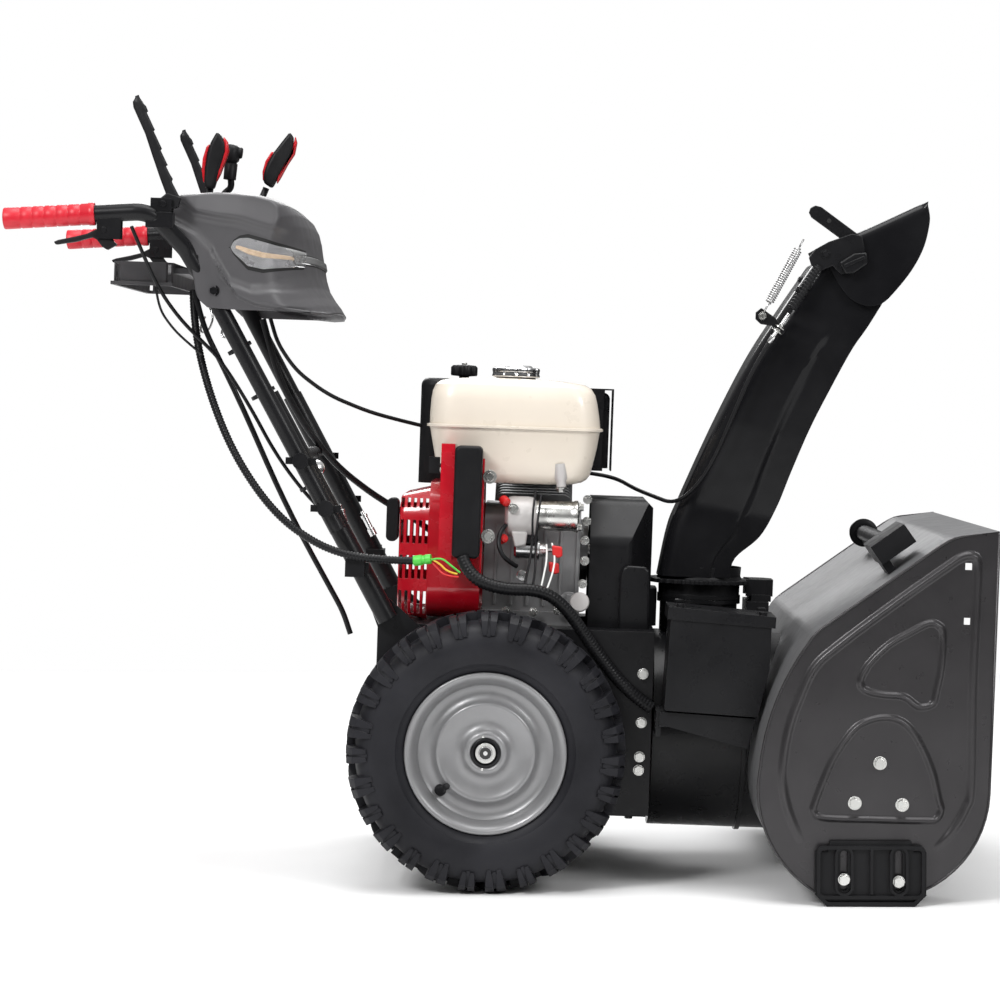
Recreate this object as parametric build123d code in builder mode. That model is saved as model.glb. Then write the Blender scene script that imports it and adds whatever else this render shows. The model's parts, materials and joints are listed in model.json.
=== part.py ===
"""A two-stage, self-propelled petrol snow blower, 30 inch (762 mm) clearing width.

Millimetres, +X forward (the way the auger faces), +Y to the machine's left, +Z up.  Every piece is
drawn in the machine's own square frame, with the wheel axle at (0, 0, axle_z).  The machine stands
nose-down by a small angle on its skid shoes, so each piece is tipped about the axle as it is written.
"""
from build123d import *
from math import atan2, cos, pi, radians, sin, tan
import os

os.makedirs("parts", exist_ok=True)

# ------------------------------------------------------------------ driving dimensions
tilt = 2.0               # nose-down stance, degrees
axle_z = 200.0           # axle height, and the tyre's rolling radius
middle_x = 13.5          # middle of the whole machine, measured from the axle

housing_half = 381.0     # half of the 30 inch clearing width
sheet = 2.5              # auger housing steel
auger_x, auger_z = 549.0, 179.0
auger_r = 140.0
drum_z, drum_r = 218.0, 147.0
drum_back = 241.0
chute_x = 308.0          # the chute turns about a vertical through here
spout_r = 58.0
chute_sweep_r = 91.5     # clear of the chute's corners as it turns
spout_top = 440.0

wheel_y = 249.0
tyre_half = 61.0
rim_r = 115.5
axle_r = 9.5
running_fit = 0.05       # radial clearance of every shaft that turns in a bush

chassis_half = 175.0
chassis_plate = 3.0
chassis_top, chassis_bottom = 372.0, 104.0
chassis_front, chassis_rear = 238.0, -165.0

crank_z = 478.0
shaft_r = 12.7           # crankshaft, impeller shaft and auger shaft, one inch
disc_z = 270.0           # friction drive shafts

tube_r = 12.5            # upper handle tube
lower_tube_r = 15.0
grip_r = 15.5
grip_y = 290.0

NOSE_DOWN = (
    Location((-middle_x, 0, axle_z)) * Location((0, 0, 0), (0, tilt, 0)) * Location((0, 0, -axle_z))
)
LEVEL = Location((-middle_x, 0, 0))


# ------------------------------------------------------------------ small helpers
def save(piece, label, stance=NOSE_DOWN):
    """Label a finished piece, set it down in the machine's stance and write its file."""
    piece.part.label = label
    standing = piece.part.moved(stance)
    standing.label = label
    export_step(standing, "parts/" + label + ".step")


def save_pair(piece, name, stance=NOSE_DOWN):
    """Write a right-hand piece and its mirror image on the left."""
    save(piece, name + "_right", stance)
    with BuildPart() as twin:
        mirror(piece.part, about=Plane.XZ)
    save(twin, name + "_left", stance)


def side(y):
    """The plane at y that faces the machine's right: sketch X is forward, sketch Y is up."""
    return Plane.XZ.offset(-y)


def fill(x, y, z, mode=Mode.ADD):
    """A block between two limits along each axis."""
    with Locations((sum(x) / 2, sum(y) / 2, sum(z) / 2)):
        Box(abs(x[1] - x[0]), abs(y[1] - y[0]), abs(z[1] - z[0]), mode=mode)


def rod(start, end, radius, mode=Mode.ADD):
    """A round bar, or a round hole, from one point to another."""
    run = Vector(*end) - Vector(*start)
    with BuildSketch(Plane(origin=start, z_dir=run)) as section:
        Circle(radius)
    extrude(section.sketch, amount=run.length, mode=mode)


def ring(start, end, outer, inner):
    """A round sleeve from one point to another."""
    rod(start, end, outer)
    rod(start, end, inner, Mode.SUBTRACT)


def hex_bolt(seat, out, across=13.0, head=6.0, washer_r=9.5, shank=0.0, shank_r=4.0):
    """A hexagon bolt whose washer sits at seat and whose head points along out."""
    plane = Plane(origin=seat, z_dir=out)
    with BuildSketch(plane) as washer:
        Circle(washer_r)
    extrude(washer.sketch, amount=1.6)
    with BuildSketch(plane.offset(1.6)) as hexagon:
        RegularPolygon(across / 2, 6, major_radius=False)
    extrude(hexagon.sketch, amount=head)
    if shank:
        with BuildSketch(plane) as stem:
            Circle(shank_r)
        extrude(stem.sketch, amount=-shank)


def bend_radii(route):
    """The largest tangent arc that each corner of a cable's route leaves room for."""
    radii = []
    for before, corner, after in zip(route, route[1:], route[2:]):
        run_in = Vector(*corner) - Vector(*before)
        run_out = Vector(*after) - Vector(*corner)
        turn = radians(run_in.get_angle(run_out))
        radii.append(0.45 * min(run_in.length, run_out.length) / tan(turn / 2))
    return radii


def tube(route, radius, radii=None):
    """A round tube or cable along straight runs joined by tangent arcs."""
    with BuildPart() as piece:
        with BuildLine() as path:
            FilletPolyline(*route, radius=radii or bend_radii(route))
        with BuildSketch(Plane(origin=path.line @ 0, z_dir=path.line % 0)):
            Circle(radius)
        sweep()
    length = sum(edge.length for edge in path.edges())
    error = piece.part.volume / (pi * radius**2 * length) - 1
    print(f"    cable of {length:.0f} mm, bends {min(radii or bend_radii(route)):.0f} mm and up, {error:+.4f}")
    return piece.part


# ------------------------------------------------------------------ auger housing
with BuildSketch(Plane.XZ) as housing_profile:
    with BuildLine():
        Line((474, 30), (584, 30))
        ThreePointArc((584, 30), (657, 71), (702, 179))
        Polyline((702, 179), (702, 544), (636, 532), (451, 393))
        ThreePointArc((451, 393), (405, 305), (383, 202))
        ThreePointArc((383, 202), (413, 82), (474, 30))
    make_face()
    slope_foot = housing_profile.vertices().sort_by_distance((451, 393, 0))[0]
    slope_head = housing_profile.vertices().sort_by_distance((636, 532, 0))[0]
    fillet([slope_foot, slope_head], 30)

with BuildPart() as housing_prism:
    with BuildSketch(side(420)):
        add(housing_profile.sketch_local)
    extrude(amount=840)

with BuildPart() as auger_housing:
    with BuildSketch(side(housing_half - sheet)):
        add(housing_profile.sketch_local)
        offset(amount=-sheet, mode=Mode.SUBTRACT)
        with BuildLine():
            Polyline((760, 541), (699, 541), (690, 200), (506, 200), (506, 0), (760, 0), close=True)
        make_face(mode=Mode.SUBTRACT)
    extrude(amount=2 * (housing_half - sheet))
    with BuildSketch(Plane.YZ.offset(300)):
        with Locations((0, drum_z)):
            Circle(drum_r - sheet)
    extrude(amount=180, mode=Mode.SUBTRACT)
save(auger_housing, "auger_housing")

bearing_bolts = [(auger_x + 38 * cos(radians(a)), auger_z + 38 * sin(radians(a))) for a in (90, 210, 330)]
shoe_bolts = [(504.4, 54.5), (580.4, 54.2)]
with BuildPart() as side_plate:
    with BuildSketch(side(sheet - housing_half)):
        add(housing_profile.sketch_local)
        with Locations((661, 494), (662, 418)):
            Rectangle(9.5, 9.5, mode=Mode.SUBTRACT)
    extrude(amount=sheet)
    with BuildSketch(side(-housing_half)):
        add(housing_profile.sketch_local)
        offset(amount=-22, mode=Mode.REPLACE)
        offset(amount=-6, mode=Mode.SUBTRACT)
    extrude(amount=1.8, taper=20)
    with BuildSketch(side(-housing_half)):
        with BuildLine():
            Polyline((606, 413), (629, 403), (624, 303), (598, 299), (516, 325), close=True)
        gusset = make_face()
        fillet(gusset.vertices(), 12)
        offset(amount=-6, mode=Mode.SUBTRACT)
    extrude(amount=1.8, taper=20)
    with BuildSketch(side(-housing_half)):
        with BuildLine():
            Line((461, 141), (638, 139))
            ThreePointArc((638, 139), (616, 233), (550, 280))
            ThreePointArc((550, 280), (483, 236), (461, 141))
        arch = make_face()
        fillet(arch.vertices().sort_by(Axis.Y)[:2], 14)
        offset(amount=-6, mode=Mode.SUBTRACT)
    extrude(amount=1.8, taper=20)
    for x, z in bearing_bolts + shoe_bolts:
        rod((x, -housing_half - 5, z), (x, 0, z), 4.3, Mode.SUBTRACT)
with BuildPart() as side_plates:
    add(side_plate.part)
    mirror(side_plate.part, about=Plane.XZ)
save(side_plates, "side_plates")

with BuildPart() as scraper_bar:
    fill((476, 530), (-376, 376), (22, 29.8))
    chamfer(scraper_bar.edges().filter_by(Axis.Y).group_by(Axis.X)[-1].sort_by(Axis.Z)[:1], 5)
    with Locations(*[Location((492, y, 29.8)) for y in range(-300, 301, 150)]):
        CounterBoreHole(4.2, 7.5, 3)
save(scraper_bar, "scraper_bar")

# Drum behind the housing, with the round spout that carries the chute.
with BuildPart() as impeller_drum:
    with BuildSketch(Plane.YZ.offset(drum_back)):
        with Locations((0, drum_z)):
            Circle(drum_r)
    extrude(amount=220)
    rod((chute_x, 0, drum_z), (chute_x, 0, spout_top), spout_r)
    rod((chute_x, 0, 408), (chute_x, 0, 414), 62.5)
    add(housing_prism.part, mode=Mode.SUBTRACT)
    with BuildSketch(Plane.YZ.offset(drum_back + 3)):
        with Locations((0, drum_z)):
            Circle(drum_r - sheet)
    extrude(amount=230, mode=Mode.SUBTRACT)
    rod((chute_x, 0, drum_z), (chute_x, 0, spout_top), spout_r - sheet, Mode.SUBTRACT)
    rod((drum_back - 1, 0, drum_z), (drum_back + 5, 0, drum_z), 24, Mode.SUBTRACT)
    with BuildSketch(Plane.YZ.offset(372)):
        with Locations((0, drum_z)):
            Circle(drum_r + 4)
            Circle(drum_r, mode=Mode.SUBTRACT)
    extrude(amount=7)
    add(housing_prism.part, mode=Mode.SUBTRACT)
save(impeller_drum, "impeller_drum")

# Skid shoes lie level on the ground, so they are drawn in ground coordinates.
with BuildPart() as skid_shoe:
    shoe_inner = housing_half + 2.2
    with BuildSketch(side(-shoe_inner)):
        with BuildLine():
            Polyline(
                (459, 16), (475, 0), (597, 0), (613, 16), (613, 75), (596, 75),
                (592, 90), (480, 90), (476, 75), (459, 75), close=True,
            )
        make_face()
        with Locations((499, 49), (575, 49)):
            SlotOverall(56, 10, rotation=90, mode=Mode.SUBTRACT)
    extrude(amount=7)
    with BuildSketch(side(-shoe_inner - 7)):
        with Locations((536, 47)):
            RectangleRounded(150, 74, 8)
            RectangleRounded(140, 64, 6, mode=Mode.SUBTRACT)
        with Locations((499, 49), (575, 49)):
            SlotOverall(70, 26, rotation=90)
            SlotOverall(62, 18, rotation=90, mode=Mode.SUBTRACT)
        with Locations((537, 49)):
            Rectangle(4, 64)
    extrude(amount=6)
    with BuildSketch(side(-shoe_inner)):
        with BuildLine():
            Polyline((459, 16), (475, 0), (597, 0), (613, 16), (607, 16), (595, 6), (477, 6),
                     (465, 16), close=True)
        make_face()
    extrude(amount=13)
with BuildPart() as skid_shoes:
    add(skid_shoe.part)
    mirror(skid_shoe.part, about=Plane.XZ)
save(skid_shoes, "skid_shoes", LEVEL)

with BuildPart() as auger_bearings:
    for hand in (-1, 1):
        inner = hand * (housing_half - sheet)
        rod((auger_x, inner, auger_z), (auger_x, inner - hand * 4, auger_z), 50)
        rod((auger_x, inner - hand * 4, auger_z), (auger_x, inner - hand * 14, auger_z), 22)
        rod((auger_x, inner, auger_z), (auger_x, inner - hand * 14, auger_z), shaft_r + running_fit,
            Mode.SUBTRACT)
        for x, z in bearing_bolts:
            rod((x, inner, z), (x, inner - hand * 4, z), 4.3, Mode.SUBTRACT)

with BuildPart() as housing_bolts:
    for hand in (-1, 1):
        for x, z in bearing_bolts:
            hex_bolt((x, hand * housing_half, z), (0, hand, 0), shank=sheet + 10)
        for x, z in shoe_bolts:
            hex_bolt((x, hand * (shoe_inner + 7), z), (0, hand, 0), 13, 7, 8.5, shank=18)

# ------------------------------------------------------------------ auger and impeller
flight_pitch = 330.0
flight_reach = (48.0, 358.0)


def ribbon(hand, phase):
    """One helical steel ribbon, sawn out of the auger's outer cylinder."""
    inner_r = 104.0
    length = flight_reach[1] - flight_reach[0]
    axis = Plane(
        origin=(auger_x, hand * flight_reach[0], auger_z),
        x_dir=(cos(phase), 0, sin(phase)),
        z_dir=(0, hand, 0),
    )
    with BuildPart() as strip:
        with BuildLine() as path:
            Helix(pitch=flight_pitch, height=length, radius=(auger_r + inner_r) / 2, lefthand=hand > 0)
        with BuildSketch(Plane(origin=path.line @ 0, x_dir=(1, 0, 0), z_dir=path.line % 0)):
            Rectangle(auger_r - inner_r, 3.2)
        sweep(is_frenet=True)
    return strip.part.moved(axis.location)


# Two ribbons a side, wound to opposite hands, on sleeves shear-bolted to the one shaft.
with BuildPart() as auger:
    rod((auger_x, -housing_half + sheet + 1, auger_z), (auger_x, housing_half - sheet - 1, auger_z),
        shaft_r)
    rod((auger_x, -10, auger_z), (auger_x, 10, auger_z), 25)
    for hand in (-1, 1):
        rod((auger_x, hand * 37, auger_z), (auger_x, hand * 363, auger_z), 20)
        rod((auger_x - 28, hand * 60, auger_z), (auger_x + 28, hand * 60, auger_z), 3.5)
        for start in range(2):
            phase = pi * start + 0.6
            add(ribbon(hand, phase))
            for y in (70, 200, 330):
                spoke = phase + 2 * pi * (y - flight_reach[0]) / flight_pitch
                foot = (auger_x, hand * y, auger_z)
                along = (cos(spoke), 0, sin(spoke))
                with BuildSketch(Plane(origin=foot, x_dir=(0, 1, 0), z_dir=along)) as flat:
                    Rectangle(26, 6)
                extrude(flat.sketch, amount=118)
save(auger, "auger")

with BuildPart() as auger_gearbox:
    rod((auger_x, -22, auger_z), (auger_x, 22, auger_z), 36)
    rod((auger_x, -30, auger_z), (auger_x, 30, auger_z), 22)
    rod((478, 0, drum_z), (600, 0, drum_z), 24)
    rod((auger_x, -4, auger_z), (auger_x, 4, auger_z), 42)
    rod((auger_x, -15, auger_z), (auger_x, 15, auger_z), 29, Mode.SUBTRACT)
    rod((512, 0, drum_z), (586, 0, drum_z), 17, Mode.SUBTRACT)
    rod((auger_x, -31, auger_z), (auger_x, 31, auger_z), shaft_r + running_fit, Mode.SUBTRACT)
    rod((470, 0, drum_z), (590, 0, drum_z), shaft_r + running_fit, Mode.SUBTRACT)
save(auger_gearbox, "auger_gearbox")

# Impeller on its shaft, with the worm at the front end and the belt pulley at the back.
with BuildPart() as impeller:
    rod((178, 0, drum_z), (588, 0, drum_z), shaft_r)
    rod((516, 0, drum_z), (582, 0, drum_z), 13.4)
    rod((254, 0, drum_z), (350, 0, drum_z), 21)
    ring((184, 0, drum_z), (200, 0, drum_z), 100, shaft_r - 1)
    with BuildSketch(Plane.YZ.offset(188)):
        with Locations((0, drum_z)):
            Circle(101)
            Circle(91, mode=Mode.SUBTRACT)
    extrude(amount=8, mode=Mode.SUBTRACT)
    rod((178, 0, drum_z), (210, 0, drum_z), shaft_r)
    for blade in range(4):
        turn = radians(90 * blade + 40)
        foot = (302, 19 * cos(turn), drum_z + 19 * sin(turn))
        with BuildSketch(Plane(origin=foot, x_dir=(1, 0, 0), z_dir=(0, cos(turn), sin(turn)))) as paddle:
            Rectangle(92, 5)
        extrude(paddle.sketch, amount=118)
        with BuildSketch(Plane(origin=foot, x_dir=(1, 0, 0),
                               z_dir=(0, cos(turn), sin(turn))).offset(30)) as brace:
            with Locations((-34, 7)):
                Rectangle(6, 14)
        extrude(brace.sketch, amount=80)
save(impeller, "impeller")

with BuildPart() as drum_bush:
    ring((drum_back - 2, 0, drum_z), (drum_back + 4, 0, drum_z), 24, shaft_r + running_fit)
    rod((chassis_front - 3, 0, drum_z), (chassis_front - 14, 0, drum_z), 34)
    rod((chassis_front + 6, 0, drum_z), (chassis_front - 15, 0, drum_z), shaft_r + running_fit,
        Mode.SUBTRACT)

# ------------------------------------------------------------------ tractor body
lug_bolts = [(223, 311), (223, 240), (222, 190), (221.5, 170.5)]
half = chassis_half
with BuildPart() as chassis_frame:
    fill((chassis_rear, chassis_front), (-half, half), (chassis_bottom, chassis_top))
    chamfer(chassis_frame.edges().filter_by(Axis.Y).sort_by(Axis.X)[:2], 30)
    inner = half - chassis_plate
    fill(
        (chassis_rear + chassis_plate, chassis_front - chassis_plate), (-inner, inner),
        (chassis_bottom - 5, chassis_top - chassis_plate), Mode.SUBTRACT,
    )
    fill((112, 214), (-112, 112), (chassis_top - 10, chassis_top + 5), Mode.SUBTRACT)
    rod((chassis_front - 6, 0, drum_z), (drum_back + 5, 0, drum_z), 24, Mode.SUBTRACT)
    rod((0, -half - 1, axle_z), (0, half + 1, axle_z), 20, Mode.SUBTRACT)
    rod((0, -half - 1, disc_z), (0, half + 1, disc_z), 14, Mode.SUBTRACT)
    for x, z in lug_bolts:
        rod((x, -half - 1, z), (x, half + 1, z), 4.2, Mode.SUBTRACT)

# Belly plate, screwed under the frame.
with BuildPart() as bottom_cover:
    fill((-130, 234), (-171.5, 171.5), (chassis_bottom - 2, chassis_bottom))
    for x in (-110, 210):
        for y in (-150, 150):
            hex_bolt((x, y, chassis_bottom - 2), (0, 0, -1), 10, 4, 8)
with BuildPart() as chassis:
    add(chassis_frame.part)
    add(bottom_cover.part)
save(chassis, "chassis_frame")

with BuildPart() as chassis_bolts:
    for hand in (-1, 1):
        for x, z in lug_bolts:
            hex_bolt((x, hand * half, z), (0, hand, 0), 12, 5, 8, shank=8)
with BuildPart() as machine_bolts:
    add(housing_bolts.part)
    add(chassis_bolts.part)
save(machine_bolts, "machine_bolts")

with BuildPart() as axle_bearings:
    for hand in (-1, 1):
        for z, radius, bore in ((axle_z, 20, axle_r), (disc_z, 14, 8)):
            rod((0, hand * (half - 8), z), (0, hand * (half + 3), z), radius)
            rod((0, hand * half, z), (0, hand * (half + 3), z), radius + 8)
            rod((0, hand * (half - 9), z), (0, hand * (half + 4), z), bore + running_fit, Mode.SUBTRACT)

with BuildPart() as transmission_case:
    fill((-30, 30), (-62, 62), (158, 216))
    fillet(transmission_case.edges().filter_by(Axis.Y), 18)
    rod((0, -120, axle_z), (0, 120, axle_z), 17)
    rod((0, 1 - half, disc_z), (0, half - 1, disc_z), 8)
    for y in (-112, 112):
        fill((-14, 14), (y - 5, y + 5), (axle_z, disc_z + 16))
    rod((0, -121, axle_z), (0, 121, axle_z), axle_r + running_fit, Mode.SUBTRACT)
save(transmission_case, "transmission_case")

with BuildPart() as friction_wheel:
    rod((0, 14, disc_z), (0, 26, disc_z), 48)
    rod((0, 4, disc_z), (0, 36, disc_z), 18)
    rod((0, 0, disc_z), (0, 40, disc_z), 8 + running_fit, Mode.SUBTRACT)
save(friction_wheel, "friction_wheel")

with BuildPart() as friction_disc:
    rod((48.4, 0, disc_z), (56, 0, disc_z), 66)
    rod((56, 0, disc_z), (176, 0, disc_z), 9)
    rod((160, 0, disc_z), (172, 0, disc_z), 52)
    with BuildSketch(Plane.YZ.offset(163)):
        with Locations((0, disc_z)):
            Circle(53)
            Circle(44, mode=Mode.SUBTRACT)
    extrude(amount=6, mode=Mode.SUBTRACT)
save(friction_disc, "friction_disc")

with BuildPart() as disc_bearing:
    rod((70, 0, disc_z), (100, 0, disc_z), 20)
    fill((76, 94), (-10, 10), (disc_z + 8, chassis_top - chassis_plate))
    rod((69, 0, disc_z), (101, 0, disc_z), 9 + running_fit, Mode.SUBTRACT)
with BuildPart() as bearings:
    add(auger_bearings.part)
    add(drum_bush.part)
    add(axle_bearings.part)
    add(disc_bearing.part)
save(bearings, "bearings")


def belt(x, upper_r, lower_z, lower_r):
    """An endless belt round the engine pulley and one pulley below it."""
    def loop(grow):
        with BuildSketch(Plane.YZ.offset(x)) as outline:
            with Locations((0, crank_z)):
                Circle(upper_r + grow)
            with Locations((0, lower_z)):
                Circle(lower_r + grow)
            make_hull()
        return outline.sketch

    with BuildPart() as piece:
        extrude(loop(8.3), amount=6)
        extrude(loop(0.3), amount=6, mode=Mode.SUBTRACT)
    return piece


with BuildPart() as drive_belts:
    add(belt(189, 32, drum_z, 91).part)
    add(belt(163, 28, disc_z, 44).part)
save(drive_belts, "drive_belts")

# Pressed cover over the belts, narrower towards the chute so that the chute can swing past it.
def inset(wall):
    """Draws the sketch in hand smaller all round by a wall thickness."""
    if wall:
        offset(amount=-wall, mode=Mode.REPLACE)


def cover_form(wall):
    """The belt cover's solid form, scooped out behind the turning chute; a wall draws the inner form."""
    with BuildPart() as form:
        with BuildSketch(Plane.XY.offset(320)):
            with BuildLine():
                Polyline((130, -112), (200, -112), (244, -34), (244, 34), (200, 112), (130, 112),
                         close=True)
            cover_plan = make_face()
            fillet(cover_plan.vertices().sort_by(Axis.X)[2:], 12)
            inset(wall)
        extrude(amount=250)
        with BuildSketch(side(120)):
            with BuildLine():
                Polyline((100, 300), (250, 300), (244, 422), (234, 548), (220, 562), (100, 562),
                         close=True)
            make_face()
            inset(wall)
        extrude(amount=240, mode=Mode.INTERSECT)
        with BuildSketch(Plane.YZ.offset(100)):
            with BuildLine():
                Polyline((-112, 300), (-112, 500), (-60, 562), (60, 562), (112, 500), (112, 300),
                         close=True)
            cover_front = make_face()
            fillet(cover_front.vertices().sort_by(Axis.Y)[2:], 30)
            inset(wall)
        extrude(amount=160, mode=Mode.INTERSECT)
        rod((chute_x, 0, 428 - wall), (chute_x, 0, 600), chute_sweep_r + wall, Mode.SUBTRACT)
    return form.part


with BuildPart() as belt_cover:
    add(cover_form(0))
    add(cover_form(2.5), mode=Mode.SUBTRACT)
    fill((100, 140), (-120, 120), (300, 600), Mode.SUBTRACT)
    fill((100, 300), (-120, 120), (300, chassis_top), Mode.SUBTRACT)
save(belt_cover, "belt_cover")

# ------------------------------------------------------------------ battery
with BuildPart() as battery_box:
    with BuildSketch(side(-152)):
        with BuildLine():
            Polyline((252, 267), (386, 262), (400, 330), (401, 398), (257, 406), close=True)
        make_face()
    extrude(amount=108)
    fillet(battery_box.edges().filter_by(Axis.Y), 4)
    offset(amount=-3, openings=battery_box.faces().sort_by(Axis.Z)[-1:])

with BuildPart() as battery_lid:
    with BuildSketch(side(-149)):
        with BuildLine():
            Polyline((252, 398), (406, 390), (407, 406), (253, 416), close=True)
        make_face()
    extrude(amount=114)
    add(battery_box.part, mode=Mode.SUBTRACT)
    with BuildSketch(side(-155)):
        with BuildLine():
            Polyline((260, 380), (398, 372), (399, 399.5), (260, 407), close=True)
        make_face()
    extrude(amount=102, mode=Mode.SUBTRACT)
    for x, z in ((270, 415), (389, 407)):
        rod((x, -250, z), (x, -250, z + 5), 6)
save(battery_lid, "battery_lid")

with BuildPart() as battery:
    fill((262, 380), (-252, -160), (273, 376))
    for y in (-236, -176):
        rod((280, y, 370), (280, y, 386), 8)
save(battery, "battery")

with BuildPart() as battery_bracket:
    with BuildSketch(side(-150)):
        with BuildLine():
            Polyline((246, 242), (259, 243), (374, 215), (384, 259), (255, 264), (246, 262), close=True)
        make_face()
    extrude(amount=100)
    fill((249, 400), (-247, -153), (200, 258), Mode.SUBTRACT)
    fill((241.5, 249), (-245, -150), (228, 264))
    add(battery_box.part, mode=Mode.SUBTRACT)
    add(impeller_drum.part, mode=Mode.SUBTRACT)
with BuildPart() as battery_case:
    add(battery_box.part)
    add(battery_bracket.part)
save(battery_case, "battery_box")

# ------------------------------------------------------------------ wheels
with BuildPart() as tyre:
    with BuildSketch(Plane.YZ):
        with BuildLine():
            Line((-wheel_y - 44, axle_z + 104), (-wheel_y - 44, axle_z + 116.5))
            ThreePointArc((-wheel_y - 44, axle_z + 116.5), (-wheel_y - 61, axle_z + 150),
                          (-wheel_y - 57, axle_z + 186))
            Line((-wheel_y - 57, axle_z + 186), (-wheel_y - 46, axle_z + 198))
            ThreePointArc((-wheel_y - 46, axle_z + 198), (-wheel_y, 2 * axle_z),
                          (-wheel_y + 46, axle_z + 198))
            Line((-wheel_y + 46, axle_z + 198), (-wheel_y + 57, axle_z + 186))
            ThreePointArc((-wheel_y + 57, axle_z + 186), (-wheel_y + 61, axle_z + 150),
                          (-wheel_y + 44, axle_z + 116.5))
            Line((-wheel_y + 44, axle_z + 116.5), (-wheel_y + 44, axle_z + 104))
            Polyline((-wheel_y + 44, axle_z + 104), (-wheel_y + 36, axle_z + 104),
                     (-wheel_y + 36, axle_z + 118))
            ThreePointArc((-wheel_y + 36, axle_z + 118), (-wheel_y + 51, axle_z + 150),
                          (-wheel_y + 44, axle_z + 184))
            Line((-wheel_y + 44, axle_z + 184), (-wheel_y - 44, axle_z + 184))
            ThreePointArc((-wheel_y - 44, axle_z + 184), (-wheel_y - 51, axle_z + 150),
                          (-wheel_y - 36, axle_z + 118))
            Polyline((-wheel_y - 36, axle_z + 118), (-wheel_y - 36, axle_z + 104),
                     (-wheel_y - 44, axle_z + 104))
        make_face()
    revolve(axis=Axis((0, 0, axle_z), (0, 1, 0)))
save_pair(tyre, "tyre")

hub_r = 17.0
with BuildPart() as rim:
    with BuildSketch(Plane.YZ):
        with BuildLine() as barrel:
            Polyline(
                (-wheel_y - 49, axle_z + rim_r), (-wheel_y - 45.6, axle_z + 102), (-wheel_y - 30, axle_z + 100),
                (-wheel_y - 22, axle_z + 86), (-wheel_y + 22, axle_z + 86), (-wheel_y + 30, axle_z + 100),
                (-wheel_y + 45.6, axle_z + 102), (-wheel_y + 49, axle_z + rim_r),
            )
        trace(barrel.line, 3)
        with BuildLine() as disc:
            Polyline(
                (-wheel_y - 22, axle_z + 86), (-wheel_y - 27, axle_z + 78), (-wheel_y - 34, axle_z + 70),
                (-wheel_y - 30, axle_z + 58), (-wheel_y - 30, axle_z + hub_r - 2),
            )
        trace(disc.line, 4)
    revolve(axis=Axis((0, 0, axle_z), (0, 1, 0)))
    ring((0, -wheel_y - 38, axle_z), (0, -half - 6, axle_z), hub_r, axle_r)
save_pair(rim, "rim")

with BuildPart() as half_axle:
    rod((0, -3, axle_z), (0, -wheel_y - 44, axle_z), axle_r)
save_pair(half_axle, "half_axle")

# ------------------------------------------------------------------ engine
with BuildPart() as engine_block:
    fill((-18, 128), (-112, 96), (chassis_top, 392))
    fill((-16, 126), (-104, 88), (392, 548))
    fillet(engine_block.edges().filter_by(Axis.X).group_by(Axis.Z)[-1], 30)
    for x in range(0, 121, 24):
        fill((x, x + 4), (-108, -60), (400, 520))
    rod((126, 0, crank_z), (138, 0, crank_z), 48)
    rod((-20, 0, crank_z), (140, 0, crank_z), shaft_r + running_fit, Mode.SUBTRACT)
    rod((112, -104, 405), (112, -122, 408), 12)

with BuildPart() as cylinder:
    barrel_axis = Plane(origin=(54, 70, 500), z_dir=(0, cos(radians(25)), sin(radians(25))))
    with BuildSketch(barrel_axis):
        Rectangle(96, 96)
    extrude(amount=60)
    for fin in range(9):
        with BuildSketch(barrel_axis.offset(14 + 9 * fin)):
            RectangleRounded(118, 118, 14)
        extrude(amount=4)
    with BuildSketch(barrel_axis.offset(60)):
        RectangleRounded(104, 104, 10)
    extrude(amount=44)
    with BuildSketch(barrel_axis.offset(104)):
        RectangleRounded(92, 92, 18)
    extrude(amount=24)
    add(engine_block.part, mode=Mode.SUBTRACT)
save(cylinder, "cylinder")

with BuildPart() as crankshaft:
    rod((-84, 0, crank_z), (-40, 0, crank_z), 92)
    for blade in range(12):
        turn = radians(30 * blade)
        foot = (-62, 90 * cos(turn), crank_z + 90 * sin(turn))
        with BuildSketch(Plane(origin=foot, x_dir=(1, 0, 0), z_dir=(0, cos(turn), sin(turn)))) as vane:
            Rectangle(40, 3)
        extrude(vane.sketch, amount=10)
    rod((156, 0, crank_z), (202, 0, crank_z), 40)
    for x, groove in ((160, 27.5), (186, 31.5)):
        with BuildSketch(Plane.YZ.offset(x)):
            with Locations((0, crank_z)):
                Circle(41)
                Circle(groove, mode=Mode.SUBTRACT)
        extrude(amount=12, mode=Mode.SUBTRACT)
    rod((-92, 0, crank_z), (206, 0, crank_z), shaft_r)
save(crankshaft, "crankshaft")

with BuildPart() as fan_shroud:
    fill((-97, -20), (-140, 128), (378, 578))
    fillet(fan_shroud.edges().filter_by(Axis.X), 46)
    offset(amount=-2, openings=fan_shroud.faces().sort_by(Axis.X)[-1:])
    rod((-120, 0, crank_z), (-90, 0, crank_z), 84, Mode.SUBTRACT)
    fill((-19.8, -17), (-196, -175), (439, 616))
    fill((-19.8, -17), (-175, -112), (439, 578))
    for z in (503.5, 590):
        hex_bolt((-10, -196, z), (0, -1, 0), 10, 4, 7)

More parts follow.
